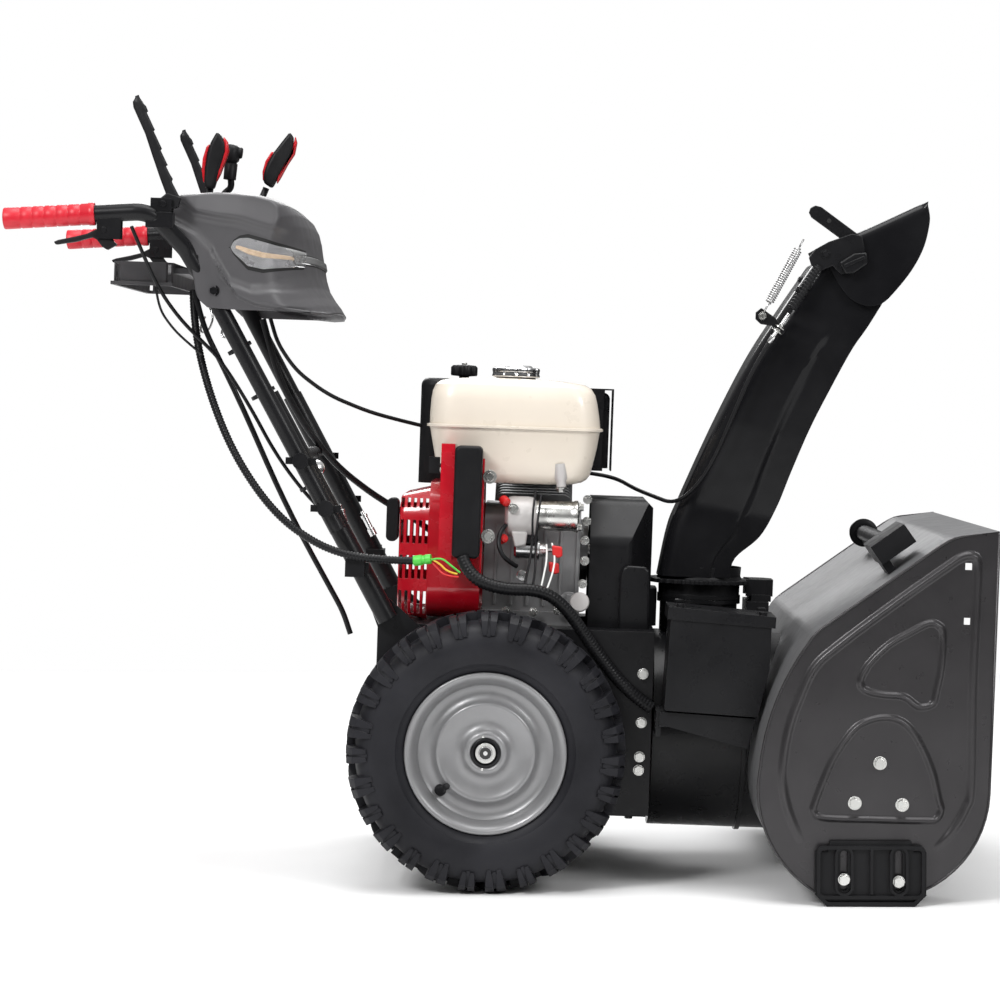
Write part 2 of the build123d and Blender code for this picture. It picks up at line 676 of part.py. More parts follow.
# Louvred starter cover behind the fan shroud.
with BuildPart() as recoil_cover:
    with BuildSketch(Plane.YZ.offset(-97.2)):
        with Locations((-2, crank_z - 8)):
            RectangleRounded(262, 196, 44)
    extrude(amount=-44, taper=14)
    fillet(recoil_cover.faces().sort_by(Axis.X)[0].edges(), 8)
    with BuildSketch(Plane.YZ.offset(-97.2)):
        with Locations((-2, crank_z - 8)):
            RectangleRounded(257.5, 191.5, 41.5)
    extrude(amount=-41.5, taper=14, mode=Mode.SUBTRACT)
    for z in (400, 452, 504, 546):
        for x in range(-139, -102, 9):
            height = 34 if z < 540 else 14
            fill((x, x + 4.5), (-150, -104), (z - height / 2, z + height / 2), Mode.SUBTRACT)
            fill((x, x + 4.5), (100, 150), (z - height / 2, z + height / 2), Mode.SUBTRACT)
    for x in (-138, -122, -106):
        for y in range(-90, 91, 15):
            fill((x, x + 8), (y, y + 8), (545, 580), Mode.SUBTRACT)
            fill((x, x + 8), (y, y + 8), (360, 395), Mode.SUBTRACT)
    with BuildSketch(Plane.YZ.offset(-170)):
        with Locations((0, crank_z)):
            with PolarLocations(66, 18):
                SlotOverall(30, 7)
    extrude(amount=60, mode=Mode.SUBTRACT)
    fill((-160, -140), (-110, -84), (536, 556), Mode.SUBTRACT)
save(recoil_cover, "recoil_cover")

with BuildPart() as recoil_handle:
    with BuildSketch(side(-114)):
        with Locations((-152, 520)):
            RectangleRounded(18, 64, 8)
    extrude(amount=-34)
    fillet(recoil_handle.edges().filter_by(Axis.Y, reverse=True).group_by(Axis.Y)[0], 2)
save(recoil_handle, "recoil_handle")

with BuildPart() as fuel_tank:
    with BuildSketch(Plane.XY.offset(581)):
        with Locations((22, -60)):
            RectangleRounded(228, 190, 40)
    with BuildSketch(Plane.XY.offset(660)):
        with Locations((22, -60)):
            RectangleRounded(258, 214, 40)
    loft()
    with BuildSketch(Plane.XY.offset(660)):
        with Locations((22, -60)):
            RectangleRounded(268, 224, 44)
    extrude(amount=4)
    with BuildSketch(Plane.XY.offset(664)):
        with Locations((22, -60)):
            RectangleRounded(262, 216, 42)
    extrude(amount=62)
    fillet(fuel_tank.faces().sort_by(Axis.Z)[-1].edges(), 18)
    rod((22, -60, 722), (22, -60, 734), 29)
    rod((22, -60, 700), (22, -60, 736), 25, Mode.SUBTRACT)
save(fuel_tank, "fuel_tank")

with BuildPart() as fuel_cap:
    rod((22, -60, 735), (22, -60, 750), 36)
    rod((22, -60, 712), (22, -60, 735), 24)
    rod((22, -60, 750), (22, -60, 754), 26)
    with BuildSketch(Plane.XY.offset(735)):
        with Locations((22, -60)):
            with PolarLocations(37, 24):
                Circle(2.2)
    extrude(amount=11, mode=Mode.SUBTRACT)
save(fuel_cap, "fuel_cap")

with BuildPart() as carburettor_cover:
    fill((-124, -24), (62, 190), (571, 732))
    fillet(carburettor_cover.edges().filter_by(Axis.Z), 22)
    fillet(carburettor_cover.faces().sort_by(Axis.Z)[-1].edges(), 12)
    fill((-92, -30), (131, 176), (520, 571))
    add(fan_shroud.part, mode=Mode.SUBTRACT)
    add(cylinder.part, mode=Mode.SUBTRACT)
    rod((-61, 150, 716), (-61, 150, 740), 8 + running_fit, Mode.SUBTRACT)
save(carburettor_cover, "carburettor_cover")

with BuildPart() as choke_knob:
    rod((-61, 150, 718), (-61, 150, 736), 8)
    rod((-61, 150, 736), (-61, 150, 754), 21)
    fillet(choke_knob.faces().sort_by(Axis.Z)[-1].edges(), 5)
    fill((-84, -38), (146, 154), (752, 758))
save(choke_knob, "choke_knob")

with BuildPart() as muffler:
    fill((20, 166), (84, 196), (602, 718))
    fillet(muffler.edges().filter_by(Axis.Z), 20)
    fillet(muffler.faces().sort_by(Axis.Z)[-1].edges(), 10)
    rod((70, 150, 562), (70, 150, 604), 18)
    add(cylinder.part, mode=Mode.SUBTRACT)

with BuildPart() as muffler_guard:
    fill((14, 172), (80, 202), (598, 724))
    fillet(muffler_guard.edges().filter_by(Axis.Z), 24)
    fill((16, 170), (82, 200), (596, 722), Mode.SUBTRACT)
    for z in range(620, 710, 20):
        for y in range(100, 181, 26):
            fill((150, 180), (y - 9, y + 9), (z - 4, z + 4), Mode.SUBTRACT)
        for x in range(50, 140, 28):
            fill((x - 10, x + 10), (190, 210), (z - 4, z + 4), Mode.SUBTRACT)
    add(muffler.part, mode=Mode.SUBTRACT)
with BuildPart() as guarded_muffler:
    add(muffler.part)
    add(muffler_guard.part)
save(guarded_muffler, "muffler")

with BuildPart() as starter_motor:
    rod((60, -150, 528), (120, -150, 528), 27)
    rod((120, -150, 528), (126, -150, 528), 20)
    rod((14, -150, 528), (60, -150, 528), 30)
    fill((18, 52), (-140, -108), (498, 556))
    rod((62, -150, 562), (112, -150, 562), 14)
    fill((70, 104), (-158, -142), (550, 556))
    add(engine_block.part, mode=Mode.SUBTRACT)

with BuildPart() as solenoid:
    rod((30, -140, 478), (74, -140, 478), 15)
    rod((74, -140, 478), (82, -140, 478), 6)
    fill((40, 64), (-128, -112), (470, 486))
    for z in (468, 488):
        rod((30, -140, z), (22, -140, z), 3)
with BuildPart() as starter:
    add(starter_motor.part)
    add(solenoid.part)
save(starter, "starter_motor")

with BuildPart() as control_box:
    fill((-60, -20), (-226, -175), (472, 634))
    fillet(control_box.edges().filter_by(Axis.Y), 8)
    fillet(control_box.faces().sort_by(Axis.Y)[0].edges(), 5)
    rod((-62, -190, 604), (-44, -190, 604), 7 + running_fit, Mode.SUBTRACT)
save(control_box, "control_box")

with BuildPart() as control_bracket:
    fill((-80, -60.2), (-206, -167), (468, 636))
    fill((-80, -22), (-174.8, -167), (468, 576))
    fill((-70, -30), (-174.8, -139), (480, 560))
    rod((-90, -190, 604), (-50, -190, 604), 14, Mode.SUBTRACT)
    add(control_box.part, mode=Mode.SUBTRACT)
    add(fan_shroud.part, mode=Mode.SUBTRACT)
with BuildPart() as red_cowl:
    add(fan_shroud.part)
    add(control_bracket.part)
save(red_cowl, "fan_shroud")

with BuildPart() as key_switch:
    rod((-46, -190, 604), (-66, -190, 604), 7)
    rod((-66, -190, 604), (-70, -190, 604), 10)
    rod((-70, -190, 604), (-84, -190, 604), 3)
    fill((-98, -82), (-192, -188), (592, 616))
save(key_switch, "key_switch")

with BuildPart() as oil_filler_cap:
    rod((112, -122.2, 408), (112, -136, 409), 15)
    fill((108, 116), (-142, -134), (396, 420))
with BuildPart() as engine:
    add(engine_block.part)
    add(oil_filler_cap.part)
save(engine, "engine_block")

# ------------------------------------------------------------------ handlebars
lower_foot, lower_head = (-150, 378), (-332, 697)
upper_foot, upper_knee = (-224, 506), (-416, 842)
with BuildPart() as lower_handle:
    rod((lower_foot[0], -190, lower_foot[1]), (lower_head[0], -206, lower_head[1]), lower_tube_r)
    rod((lower_foot[0], -190, lower_foot[1]), (lower_head[0], -206, lower_head[1]), lower_tube_r - 2,
        Mode.SUBTRACT)
    with BuildSketch(side(-chassis_half)):
        with BuildLine():
            Polyline((-165, 290), (-100, 290), (-100, 366), (-150, 408), (-178, 398), (-165, 366),
                     close=True)
        make_face()
    extrude(amount=4)

upper_path = [
    (-700, -grip_y, 934), (-500, -grip_y, 951), (-452, -252, 900), (upper_knee[0], -238, upper_knee[1]),
    (upper_foot[0], -222, upper_foot[1]),
]
with BuildPart() as upper_handle:
    add(tube(upper_path, tube_r, [42, 42, 60]))
    add(lower_handle.part, mode=Mode.SUBTRACT)

with BuildPart() as handle_tubes:
    for half_tube in (lower_handle.part, upper_handle.part):
        add(half_tube)
        mirror(half_tube, about=Plane.XZ)
save(handle_tubes, "handle_tubes")

with BuildPart() as grips:
    for hand in (-1, 1):
        rod((-708, hand * grip_y, 933.3), (-578, hand * grip_y, 944.4), grip_r)
    add(handle_tubes.part, mode=Mode.SUBTRACT)
save(grips, "grips")

# ------------------------------------------------------------------ controls at the handles
lever_pivot = (-482, 962)
lever_y = 281.0
trigger_pivot = (-564, 922)
pin_r = 4.0


with BuildPart() as handle_brackets:
    for hand in (-1, 1):
        # saddle under the lever pivot
        y = hand * lever_y
        for offset_y in (-11, 11):
            fill((-500, -470), (y + offset_y - 1.5, y + offset_y + 1.5), (936, 970))
        fill((-506, -468), (y - 15, y + 15), (928, 950))
        rod((lever_pivot[0], y - 15, lever_pivot[1]), (lever_pivot[0], y + 15, lever_pivot[1]), pin_r)
        # saddle for the steering trigger below the tube
        for offset_y in (-9, 9):
            fill((-574, -540), (hand * grip_y + offset_y - 1.5, hand * grip_y + offset_y + 1.5),
                 (910, 946))
        rod(
            (trigger_pivot[0], hand * grip_y - 12, trigger_pivot[1]),
            (trigger_pivot[0], hand * grip_y + 12, trigger_pivot[1]), pin_r,
        )
        # bolts that clamp the upper tube to the lower one, and the cable clip below them
        for x, z in ((-280, 604), (-242, 537)):
            rod((x, hand * 194, z), (x, hand * 236, z), 4)
            rod((x, hand * 236, z), (x, hand * 246, z), 12)
            fill((x - 22, x + 22), (hand * 236 - 1, hand * 236 + 1), (z - 5, z + 5))
        fill((-212, -184), (hand * 222 - 9, hand * 222 + 9), (440, 466))
        fill((-206, -178), (hand * 196 - 20, hand * 222), (445, 461))
    rod((-283, -192, 612), (-283, 192, 612), 9)
    add(handle_tubes.part, mode=Mode.SUBTRACT)
    add(grips.part, mode=Mode.SUBTRACT)
save(handle_brackets, "handle_brackets")

with BuildPart() as clutch_lever:
    with BuildSketch(side(5 - lever_y)):
        with BuildLine():
            Polyline(
                (-492, 968), (-488, 954), (-476, 954), (-466, 972), (-500, 1066), (-524, 1122), (-532, 1121),
                (-530, 1096), (-494, 990), close=True,
            )
        blade = make_face()
        fillet(blade.vertices().sort_by(Axis.Y)[:-2], 4)
    extrude(amount=10)
    rod((lever_pivot[0], 6 - lever_y, lever_pivot[1]), (lever_pivot[0], -6 - lever_y, lever_pivot[1]), 9)
    rod(
        (lever_pivot[0], 8 - lever_y, lever_pivot[1]), (lever_pivot[0], -8 - lever_y, lever_pivot[1]),
        pin_r + running_fit, Mode.SUBTRACT,
    )
save_pair(clutch_lever, "clutch_lever")

with BuildPart() as steering_trigger:
    with BuildSketch(side(-grip_y + 6)):
        with BuildLine():
            Polyline((-572, 925), (-566, 930), (-556, 922), (-551, 898), (-560, 896), (-572, 908),
                     (-600, 902), (-634, 897), (-637, 904), (-604, 911), close=True)
        make_face()
    extrude(amount=12)
    rod(
        (trigger_pivot[0], -grip_y - 8, trigger_pivot[1]), (trigger_pivot[0], -grip_y + 8, trigger_pivot[1]),
        pin_r + running_fit, Mode.SUBTRACT,
    )
save_pair(steering_trigger, "steering_trigger")

# ------------------------------------------------------------------ control panel
dash_half = 258.0


def dash_form(wall):
    """The panel's solid form, drawn smaller all round by a wall thickness."""
    with BuildPart() as form:
        with BuildSketch(side(300)):
            with BuildLine():
                Polyline(
                    (-488, 972), (-476, 984), (-419, 989), (-320, 970), (-296, 945), (-275, 896), (-240, 828),
                    (-240, 817), (-392, 817), (-412, 838), (-471, 921), close=True,
                )
            panel = make_face()
            fillet(panel.vertices().sort_by(Axis.Y)[-2:], 14)
            inset(wall)
        extrude(amount=600)
        with BuildSketch(Plane.YZ.offset(-600)):
            with BuildLine():
                Polyline((-258, 800), (-258, 850), (-205, 1000), (205, 1000), (258, 850), (258, 800),
                         close=True)
            front = make_face()
            fillet(front.vertices().group_by(Axis.Y)[1], 40)
            inset(wall)
        extrude(amount=500, mode=Mode.INTERSECT)
    return form.part


speed_slot, deflector_slot = (-452, -60), (-393, 60)
with BuildPart() as dash_housing:
    add(dash_form(0))
    add(dash_form(3), mode=Mode.SUBTRACT)
    fill((-480, -242), (-252, 252), (810, 822), Mode.SUBTRACT)
    for x, y in (speed_slot, deflector_slot):
        fill((x - 40, x + 46), (y - 9, y + 9), (940, 1010), Mode.SUBTRACT)
    fill((-446, -414), (-44, 44), (950, 1010), Mode.SUBTRACT)
    for hand in (-1, 1):
        for x, z in ((-439, 889), (-411, 843)):
            rod((x, hand * 240, z), (x, hand * 262, z), 4)
            rod((x, hand * 252, z), (x, hand * 261, z), 10)
    add(handle_tubes.part, mode=Mode.SUBTRACT)
    add(handle_brackets.part, mode=Mode.SUBTRACT)
save(dash_housing, "dash_housing")

with BuildPart() as dash_mechanism:
    for pivot_x, y in ((-446, -60), (-402, 60)):
        for offset_y in (-13, 13):
            fill((pivot_x - 8, pivot_x + 12), (y + offset_y - 2, y + offset_y + 2), (886, 936))
        fill((pivot_x - 8, pivot_x + 12), (y - 15, y + 15), (880, 888))
        rod((pivot_x, y - 17, 925), (pivot_x, y + 17, 925), pin_r)
    for x in (-444, -416):
        fill((x - 2, x + 2), (-14, 14), (900, 942))
    rod((-449, 0, 930), (-411, 0, 930), pin_r)
    fill((-446, -414), (-14, 14), (886, 902))
    rod((-440, -236, 872), (-440, 236, 872), 10)
    fill((-454, -390), (45, 75), (876, 882))
    fill((-446, -414), (-76, 76), (880, 886.5))
    add(handle_tubes.part, mode=Mode.SUBTRACT)

with BuildPart() as dash_tray:
    fill((-563, -477), (-200, 200), (849, 883))
    chamfer(dash_tray.edges().filter_by(Axis.Z), 10)
    fill((-560, -480), (-197, 197), (845, 880), Mode.SUBTRACT)
    fill((-566, -477), (-203, 203), (849, 854))
    fill((-560, -480), (-197, 197), (845, 860), Mode.SUBTRACT)
    fill((-480, -452), (-180, 180), (868, 876))
    add(dash_mechanism.part)
    add(dash_housing.part, mode=Mode.SUBTRACT)
save(dash_tray, "dash_tray")

with BuildPart() as headlight_lens:
    add(dash_form(-1.5))
    with BuildSketch(side(300)):
        with BuildLine():
            Polyline((-384, 912), (-366, 884), (-250, 886), (-250, 912), (-300, 918), close=True)
        make_face()
    extrude(amount=600, mode=Mode.INTERSECT)
    add(dash_form(0), mode=Mode.SUBTRACT)
save(headlight_lens, "headlight_lens")


def swing_lever(pivot, shoulder, knob_top, y, knob_r):
    """A stalk on a cross pin with a flat grip on top."""
    with BuildPart() as lever:
        rod((pivot[0], y - 9, pivot[1]), (pivot[0], y + 9, pivot[1]), 9)
        rod((pivot[0], y, pivot[1]), (shoulder[0], y, shoulder[1]), 5)
        rod((shoulder[0], y, shoulder[1]), (knob_top[0], y, knob_top[1]), knob_r)
        fillet(lever.faces().sort_by(Axis.Z)[-1].edges(), knob_r / 2)
        rod((pivot[0], y - 12, pivot[1]), (pivot[0], y + 12, pivot[1]), pin_r + running_fit,
            Mode.SUBTRACT)
    return lever


save(swing_lever((-446, 925), (-443, 1008), (-434, 1085), -60, 13), "speed_lever")
save(swing_lever((-402, 925), (-374, 1000), (-336, 1098), 60, 13), "deflector_lever")

with BuildPart() as chute_joystick:
    rod((-441, 0, 930), (-419, 0, 930), 9)
    rod((-430, 0, 930), (-430, 0, 1010), 5)
    rod((-430, 0, 1006), (-413, 0, 1016), 5)
    rod((-413, 0, 1012), (-411, 0, 1044), 5)
    rod((-411, 0, 1040), (-411, 0, 1072), 13)
    fillet(chute_joystick.faces().sort_by(Axis.Z)[-1].edges(), 6)
    rod((-445, 0, 930), (-415, 0, 930), pin_r + running_fit, Mode.SUBTRACT)
save(chute_joystick, "chute_joystick")

# ------------------------------------------------------------------ chute and deflector
rear_line = [(245, 448), (258, 520), (274, 564), (319, 672), (368, 775), (412, 849), (456, 918)]
front_line = [(575, 894), (536, 834), (496, 770), (441, 668), (396, 530), (383, 508), (352, 466),
              (348, 448)]


def chute_form(wall):
    """The channel's solid form; a wall thickness draws the inner form, open at the front."""
    rear = [(x + wall * 0.94, z - wall * 0.34) for x, z in rear_line]
    front = [(x + 20 * wall, z) for x, z in front_line]
    mouth = []
    if wall:
        mouth = [(rear[-1][0] + 10 * wall, 918 + 20 * wall), (front[0][0], 894 + 20 * wall)]
    with BuildPart() as form:
        with BuildSketch(side(140)):
            with BuildLine():
                Spline(*rear)
                Polyline(rear[-1], *mouth, front[0])
                Spline(*front)
                Line(front[-1], rear[0])
            make_face()
        extrude(amount=280)
        with BuildSketch(Plane.YZ.offset(200)):
            with BuildLine():
                width = [63 - wall, 63 - wall, 77 - wall, 92 - wall, 95 - wall]
                height = [440, 560, 680, 830, 1000]
                Spline(*[(-w, h) for w, h in zip(width, height)])
                Line((-width[-1], height[-1]), (width[-1], height[-1]))
                Spline(*[(w, h) for w, h in zip(reversed(width), reversed(height))])
                Line((width[0], height[0]), (-width[0], height[0]))
            make_face()
        extrude(amount=560, mode=Mode.INTERSECT)
    return form.part


with BuildPart() as chute:
    add(chute_form(0))
    rod((chute_x, 0, 414.4), (chute_x, 0, 462), spout_r + 5)
    rod((chute_x, 0, 414.4), (chute_x, 0, 421), 62.5)
    add(chute_form(3), mode=Mode.SUBTRACT)
    rod((chute_x, 0, 410), (chute_x, 0, 463), spout_r + 0.08, Mode.SUBTRACT)
    with BuildSketch(side(-94)):
        with BuildLine():
            Polyline((379, 812), (404, 800), (452, 868), (440, 884), close=True)
        make_face()
    extrude(amount=4)
    with BuildSketch(side(96)):
        with BuildLine():
            Polyline((500, 850), (536, 834), (560, 872), (532, 935), (522, 946), (504, 946),
                     (486, 900), close=True)
        make_face()
    extrude(amount=4.5)
    with BuildSketch(side(-91.5)):
        with BuildLine():
            Polyline((500, 850), (536, 834), (560, 872), (532, 935), (522, 946), (504, 946),
                     (486, 900), close=True)
        make_face()
    extrude(amount=4.5)
    for hand in (-1, 1):
        rod((513, hand * 91.5, 952), (513, hand * 96, 952), 8.5)
        rod((513, hand * 91.5, 952), (513, hand * 105, 952), 5)
save(chute, "chute")

deflector_outline = [
    (464, 943), (626, 1019), (627, 1012), (620, 994), (617, 961), (602, 923), (534, 859), (515, 862), (470, 920),
]
with BuildPart() as deflector:
    with BuildSketch(side(100)):
        with BuildLine():
            Polyline(*deflector_outline, close=True)
        make_face()
    extrude(amount=200)
    with BuildSketch(side(97)):
        with BuildLine():
            Polyline((400, 909.7), (640, 1022.3), (700, 900), (560, 780), (400, 860), close=True)
        make_face()
    extrude(amount=194, mode=Mode.SUBTRACT)
    rod((513, -110, 952), (513, 110, 952), 5 + running_fit, Mode.SUBTRACT)
    # control arm on the right cheek
    with BuildSketch(side(-100)):
        with BuildLine():
            Polyline((520, 944), (522, 962), (456, 1003), (445, 997), (445, 984), (504, 944), close=True)
        arm = make_face()
        fillet(arm.vertices(), 4)
        with Locations((513, 952)):
            Circle(5 + running_fit, mode=Mode.SUBTRACT)
        with Locations(Location((480, 977), -32)):
            SlotOverall(26, 7, mode=Mode.SUBTRACT)
    extrude(amount=4)
save(deflector, "deflector")

with BuildPart() as deflector_spring:
    rod((430, -112, 938), (390, -112, 858), 6)
    rod((430, -112, 938), (447, -112, 974), 1.5)
    rod((390, -112, 858), (384, -112, 842), 1.5)
    rod((384, -112, 842), (392, -98.3, 834), 1.5)
save(deflector_spring, "deflector_spring")

with BuildPart() as chute_gear_cover:
    fill((350, 418), (-34, 34), (421, 446))
    chamfer(chute_gear_cover.edges().filter_by(Axis.Z).group_by(Axis.X)[-1], 12)
    rod((chute_x, 0, 400), (chute_x, 0, 460), 76.5, Mode.SUBTRACT)
    fill((372, 412), (-27, 27), (414.5, 441.5), Mode.SUBTRACT)
    fill((376, 414), (-20, 20), (414.2, 421))
    for hand in (-1, 1):
        fill((385, 414), (hand * 34, hand * 44), (414.2, 424))
    rod((chute_x, 0, 400), (chute_x, 0, 460), 76.5, Mode.SUBTRACT)
    fill((378, 410), (-60, 60), (380, 414.2))
    add(impeller_drum.part, mode=Mode.SUBTRACT)
    add(housing_prism.part, mode=Mode.SUBTRACT)
save(chute_gear_cover, "chute_gear_cover")

lean = atan2(139, 185)


def on_slope(x, up):
    """The side-view point above x on the housing's slope, standing off it by up."""
    return (x - up * sin(lean), 393 + (x - 451) * tan(lean) + up * cos(lean))


def slope_block(x, up, y, mode=Mode.ADD):
    """A block square to the slope: x and up along and off it, between two y values."""
    with BuildSketch(side(y[1])) as face:
        with BuildLine():
            Polyline(*[on_slope(a, b) for a,
                       b in ((x[0], up[0]), (x[1], up[0]), (x[1], up[1]), (x[0], up[1]))], close=True)
        make_face()
    extrude(face.sketch, amount=y[1] - y[0], mode=mode)


# The clean-out shovel lies across the housing in two clips, its scoop to the right.
tool_x, tool_z = on_slope(582, 32)
with BuildPart() as clean_out_tool:
    slope_block((560, 606), (17, 47), (-310, -205))
    slope_block((563, 603), (10, 44), (-309, -209), Mode.SUBTRACT)
    slope_block((560, 570), (0.3, 17), (-300, -250))
    slope_block((574, 590), (0.3, 24), (50, 90))
    rod((tool_x, -207, tool_z), (tool_x, 130, tool_z), 12)
    rod((tool_x, 120, tool_z), (tool_x, 152, tool_z), 16)
    rod((tool_x, 96, tool_z), (tool_x, 101, tool_z), 21)
save(clean_out_tool, "clean_out_tool")

# ------------------------------------------------------------------ cables
deflector_route = [
    (396, -107, 806), (372, -105, 765), (344, -98, 690), (318, -88, 620), (290, -76, 576), (262, -60, 556),
    (232, -30, 566), (205, 20, 575), (180, 60, 588), (145, 66, 594), (110, 68, 597),
]
with BuildPart() as deflector_cable:
    add(tube(deflector_route, 3))
    rod((426, -107, 853), (396, -107, 806), 4.5)
    rod((426, -107, 853), (462, -107, 915), 7)
    add(chute.part, mode=Mode.SUBTRACT)
save(deflector_cable, "deflector_cable")

panel_route = [
    (-112, 80, 656), (-150, 66, 664), (-200, 40, 676), (-262, 10, 700), (-310, -10, 735), (-338, -20, 775), (-350, -20, 812),
]
chute_cable_route = [
    (-20, 150, 420), (-70, 150, 470), (-130, 145, 512), (-190, 120, 545), (-250, 90, 590), (-300, 70, 650),
    (-340, 55, 720), (-368, 50, 812),
]
drive_rod_route = [
    (-206, -150, 352), (-218, -151, 385), (-303, -158, 530), (-378, -165, 688), (-432, -171, 790), (-448, -173, 846),
]
with BuildPart() as control_cables:
    for route, radius in (
        (panel_route, 3), (chute_cable_route, 5), (drive_rod_route, 4),
    ):
        add(tube(route, radius))
    for part in (dash_tray.part, handle_tubes.part, handle_brackets.part, carburettor_cover.part, red_cowl.part):
        add(part, mode=Mode.SUBTRACT)
save(control_cables, "control_cables")

loom_route = [
    (-452, -150, 845), (-447, -170, 790), (-420, -200, 700), (-378, -226, 610), (-318, -240, 530),
    (-258, -244, 488), (-205, -240, 470), (-150, -228, 466), (-112, -222, 466),
]
engine_loom_route = [
    (-30, -236, 452), (10, -236, 420), (70, -230, 424), (112, -215, 402), (150, -195, 345), (205, -186, 280),
    (238, -186, 262),
]
with BuildPart() as wiring_loom:
    add(tube(loom_route, 6))
    add(tube(engine_loom_route, 8))
    for part in (handle_tubes.part, handle_brackets.part, chassis.part, battery_case.part, machine_bolts.part):
        add(part, mode=Mode.SUBTRACT)
save(wiring_loom, "wiring_loom")
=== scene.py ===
"""Looks for the snow blower: materials, and detailed pieces in place of the plain CAD solids.

Distances in the script are millimetres in the machine's own square frame (+X forward, +Y left, +Z up, axle at
x = 0, z = 200), and at() turns them into row-frame metres, nose-down by the machine's two degrees.
A hand of -1 is the machine's right side and 1 its left.
"""

import bmesh
import bpy
import json
import random
from math import atan2, cos, hypot, pi, radians, sin, sqrt
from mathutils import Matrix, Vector
from mathutils.bvhtree import BVHTree


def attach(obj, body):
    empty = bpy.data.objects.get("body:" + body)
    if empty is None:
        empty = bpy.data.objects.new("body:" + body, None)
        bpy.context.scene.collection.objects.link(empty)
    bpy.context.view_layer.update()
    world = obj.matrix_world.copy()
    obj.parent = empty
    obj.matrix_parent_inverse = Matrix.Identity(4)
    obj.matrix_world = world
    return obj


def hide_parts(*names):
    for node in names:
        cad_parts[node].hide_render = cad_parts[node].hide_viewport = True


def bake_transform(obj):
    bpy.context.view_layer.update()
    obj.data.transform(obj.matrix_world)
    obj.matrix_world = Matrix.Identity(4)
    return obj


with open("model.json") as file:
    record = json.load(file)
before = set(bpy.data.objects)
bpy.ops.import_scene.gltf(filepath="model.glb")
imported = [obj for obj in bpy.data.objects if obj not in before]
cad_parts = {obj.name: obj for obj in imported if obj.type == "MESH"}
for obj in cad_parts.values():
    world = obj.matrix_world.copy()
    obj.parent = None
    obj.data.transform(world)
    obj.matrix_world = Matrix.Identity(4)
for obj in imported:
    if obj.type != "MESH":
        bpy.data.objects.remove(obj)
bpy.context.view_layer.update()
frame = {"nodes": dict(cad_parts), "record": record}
nodes = frame["nodes"]
scene = bpy.context.scene
random.seed(7)

TILT = radians(2.0)
AXLE_Z = 200.0
MIDDLE_X = 13.5
WHEEL_Y = 249.0
GRIP_Y = 290.0
LEVER_Y = 281.0
TANK_Y = -60.0
CHUTE_X = 308.0
SIDES = ((-1, "right"), (1, "left"))


def at(x, y, z):
    """The row-frame point, in metres, of a point in the machine's frame, in millimetres."""
    up = z - AXLE_Z
    return Vector((
        (x * cos(TILT) + up * sin(TILT) - MIDDLE_X) / 1000,
        y / 1000,
        (-x * sin(TILT) + up * cos(TILT) + AXLE_Z) / 1000,
    ))


# ------------------------------------------------------------------ materials
def socket(node, name, value):
    node.inputs[name].default_value = value


class Shader:
    """A principled material built up from noise in the object's own metres."""

    def __init__(self, name, rough, metal=0.0, coat=0.0):
        self.material = bpy.data.materials.new(name)
        self.material.use_nodes = True
        self.tree = self.material.node_tree
        self.surface = self.tree.nodes["Principled BSDF"]
        socket(self.surface, "Roughness", rough)
        socket(self.surface, "Metallic", metal)
        socket(self.surface, "Coat Weight", coat)
        socket(self.surface, "Coat Roughness", 0.08)
        self.place = self.node("ShaderNodeTexCoord").outputs["Object"]
        self.height = None

    def node(self, kind):
        return self.tree.nodes.new(kind)

    def link(self, start, end):
        self.tree.links.new(start, end)

    def noise(self, scale, detail=6.0, stretch=(1, 1, 1)):
        """Noise of that many features a metre, longer along the axes with a small stretch."""
        mapping = self.node("ShaderNodeMapping")
        socket(mapping, "Scale", stretch)
        self.link(self.place, mapping.inputs["Vector"])
        noise = self.node("ShaderNodeTexNoise")
        socket(noise, "Scale", scale)
        socket(noise, "Detail", detail)
        self.link(mapping.outputs["Vector"], noise.inputs["Vector"])
        return noise.outputs["Fac"]

    def ranged(self, value, low, high, start=0.3, stop=0.7):
        span = self.node("ShaderNodeMapRange")
        for name, number in (("From Min", start), ("From Max", stop), ("To Min", low), ("To Max", high)):
            socket(span, name, number)
        self.link(value, span.inputs["Value"])
        return span.outputs["Result"]

    def mix(self, factor, first, second):
        """A colour between two colours or colour outputs."""
        mix = self.node("ShaderNodeMix")
        mix.data_type = "RGBA"
        self.link(factor, mix.inputs["Factor"])
        for end, colour in (("A", first), ("B", second)):
            target = [s for s in mix.inputs if s.name == end and s.type == "RGBA"][0]
            if isinstance(colour, (tuple, list)):
                target.default_value = (*colour[:3], 1.0)
            else:
                self.link(colour, target)
        return [s for s in mix.outputs if s.type == "RGBA"][0]

    def bump(self, value, strength, distance):
        bump = self.node("ShaderNodeBump")
        socket(bump, "Strength", strength)
        socket(bump, "Distance", distance)
        self.link(value, bump.inputs["Height"])
        if self.height is not None:
            self.link(self.height, bump.inputs["Normal"])
        self.height = bump.outputs["Normal"]
        self.link(self.height, self.surface.inputs["Normal"])

    def colour(self, output):
        self.link(output, self.surface.inputs["Base Color"])

    def rough(self, output):
        self.link(output, self.surface.inputs["Roughness"])


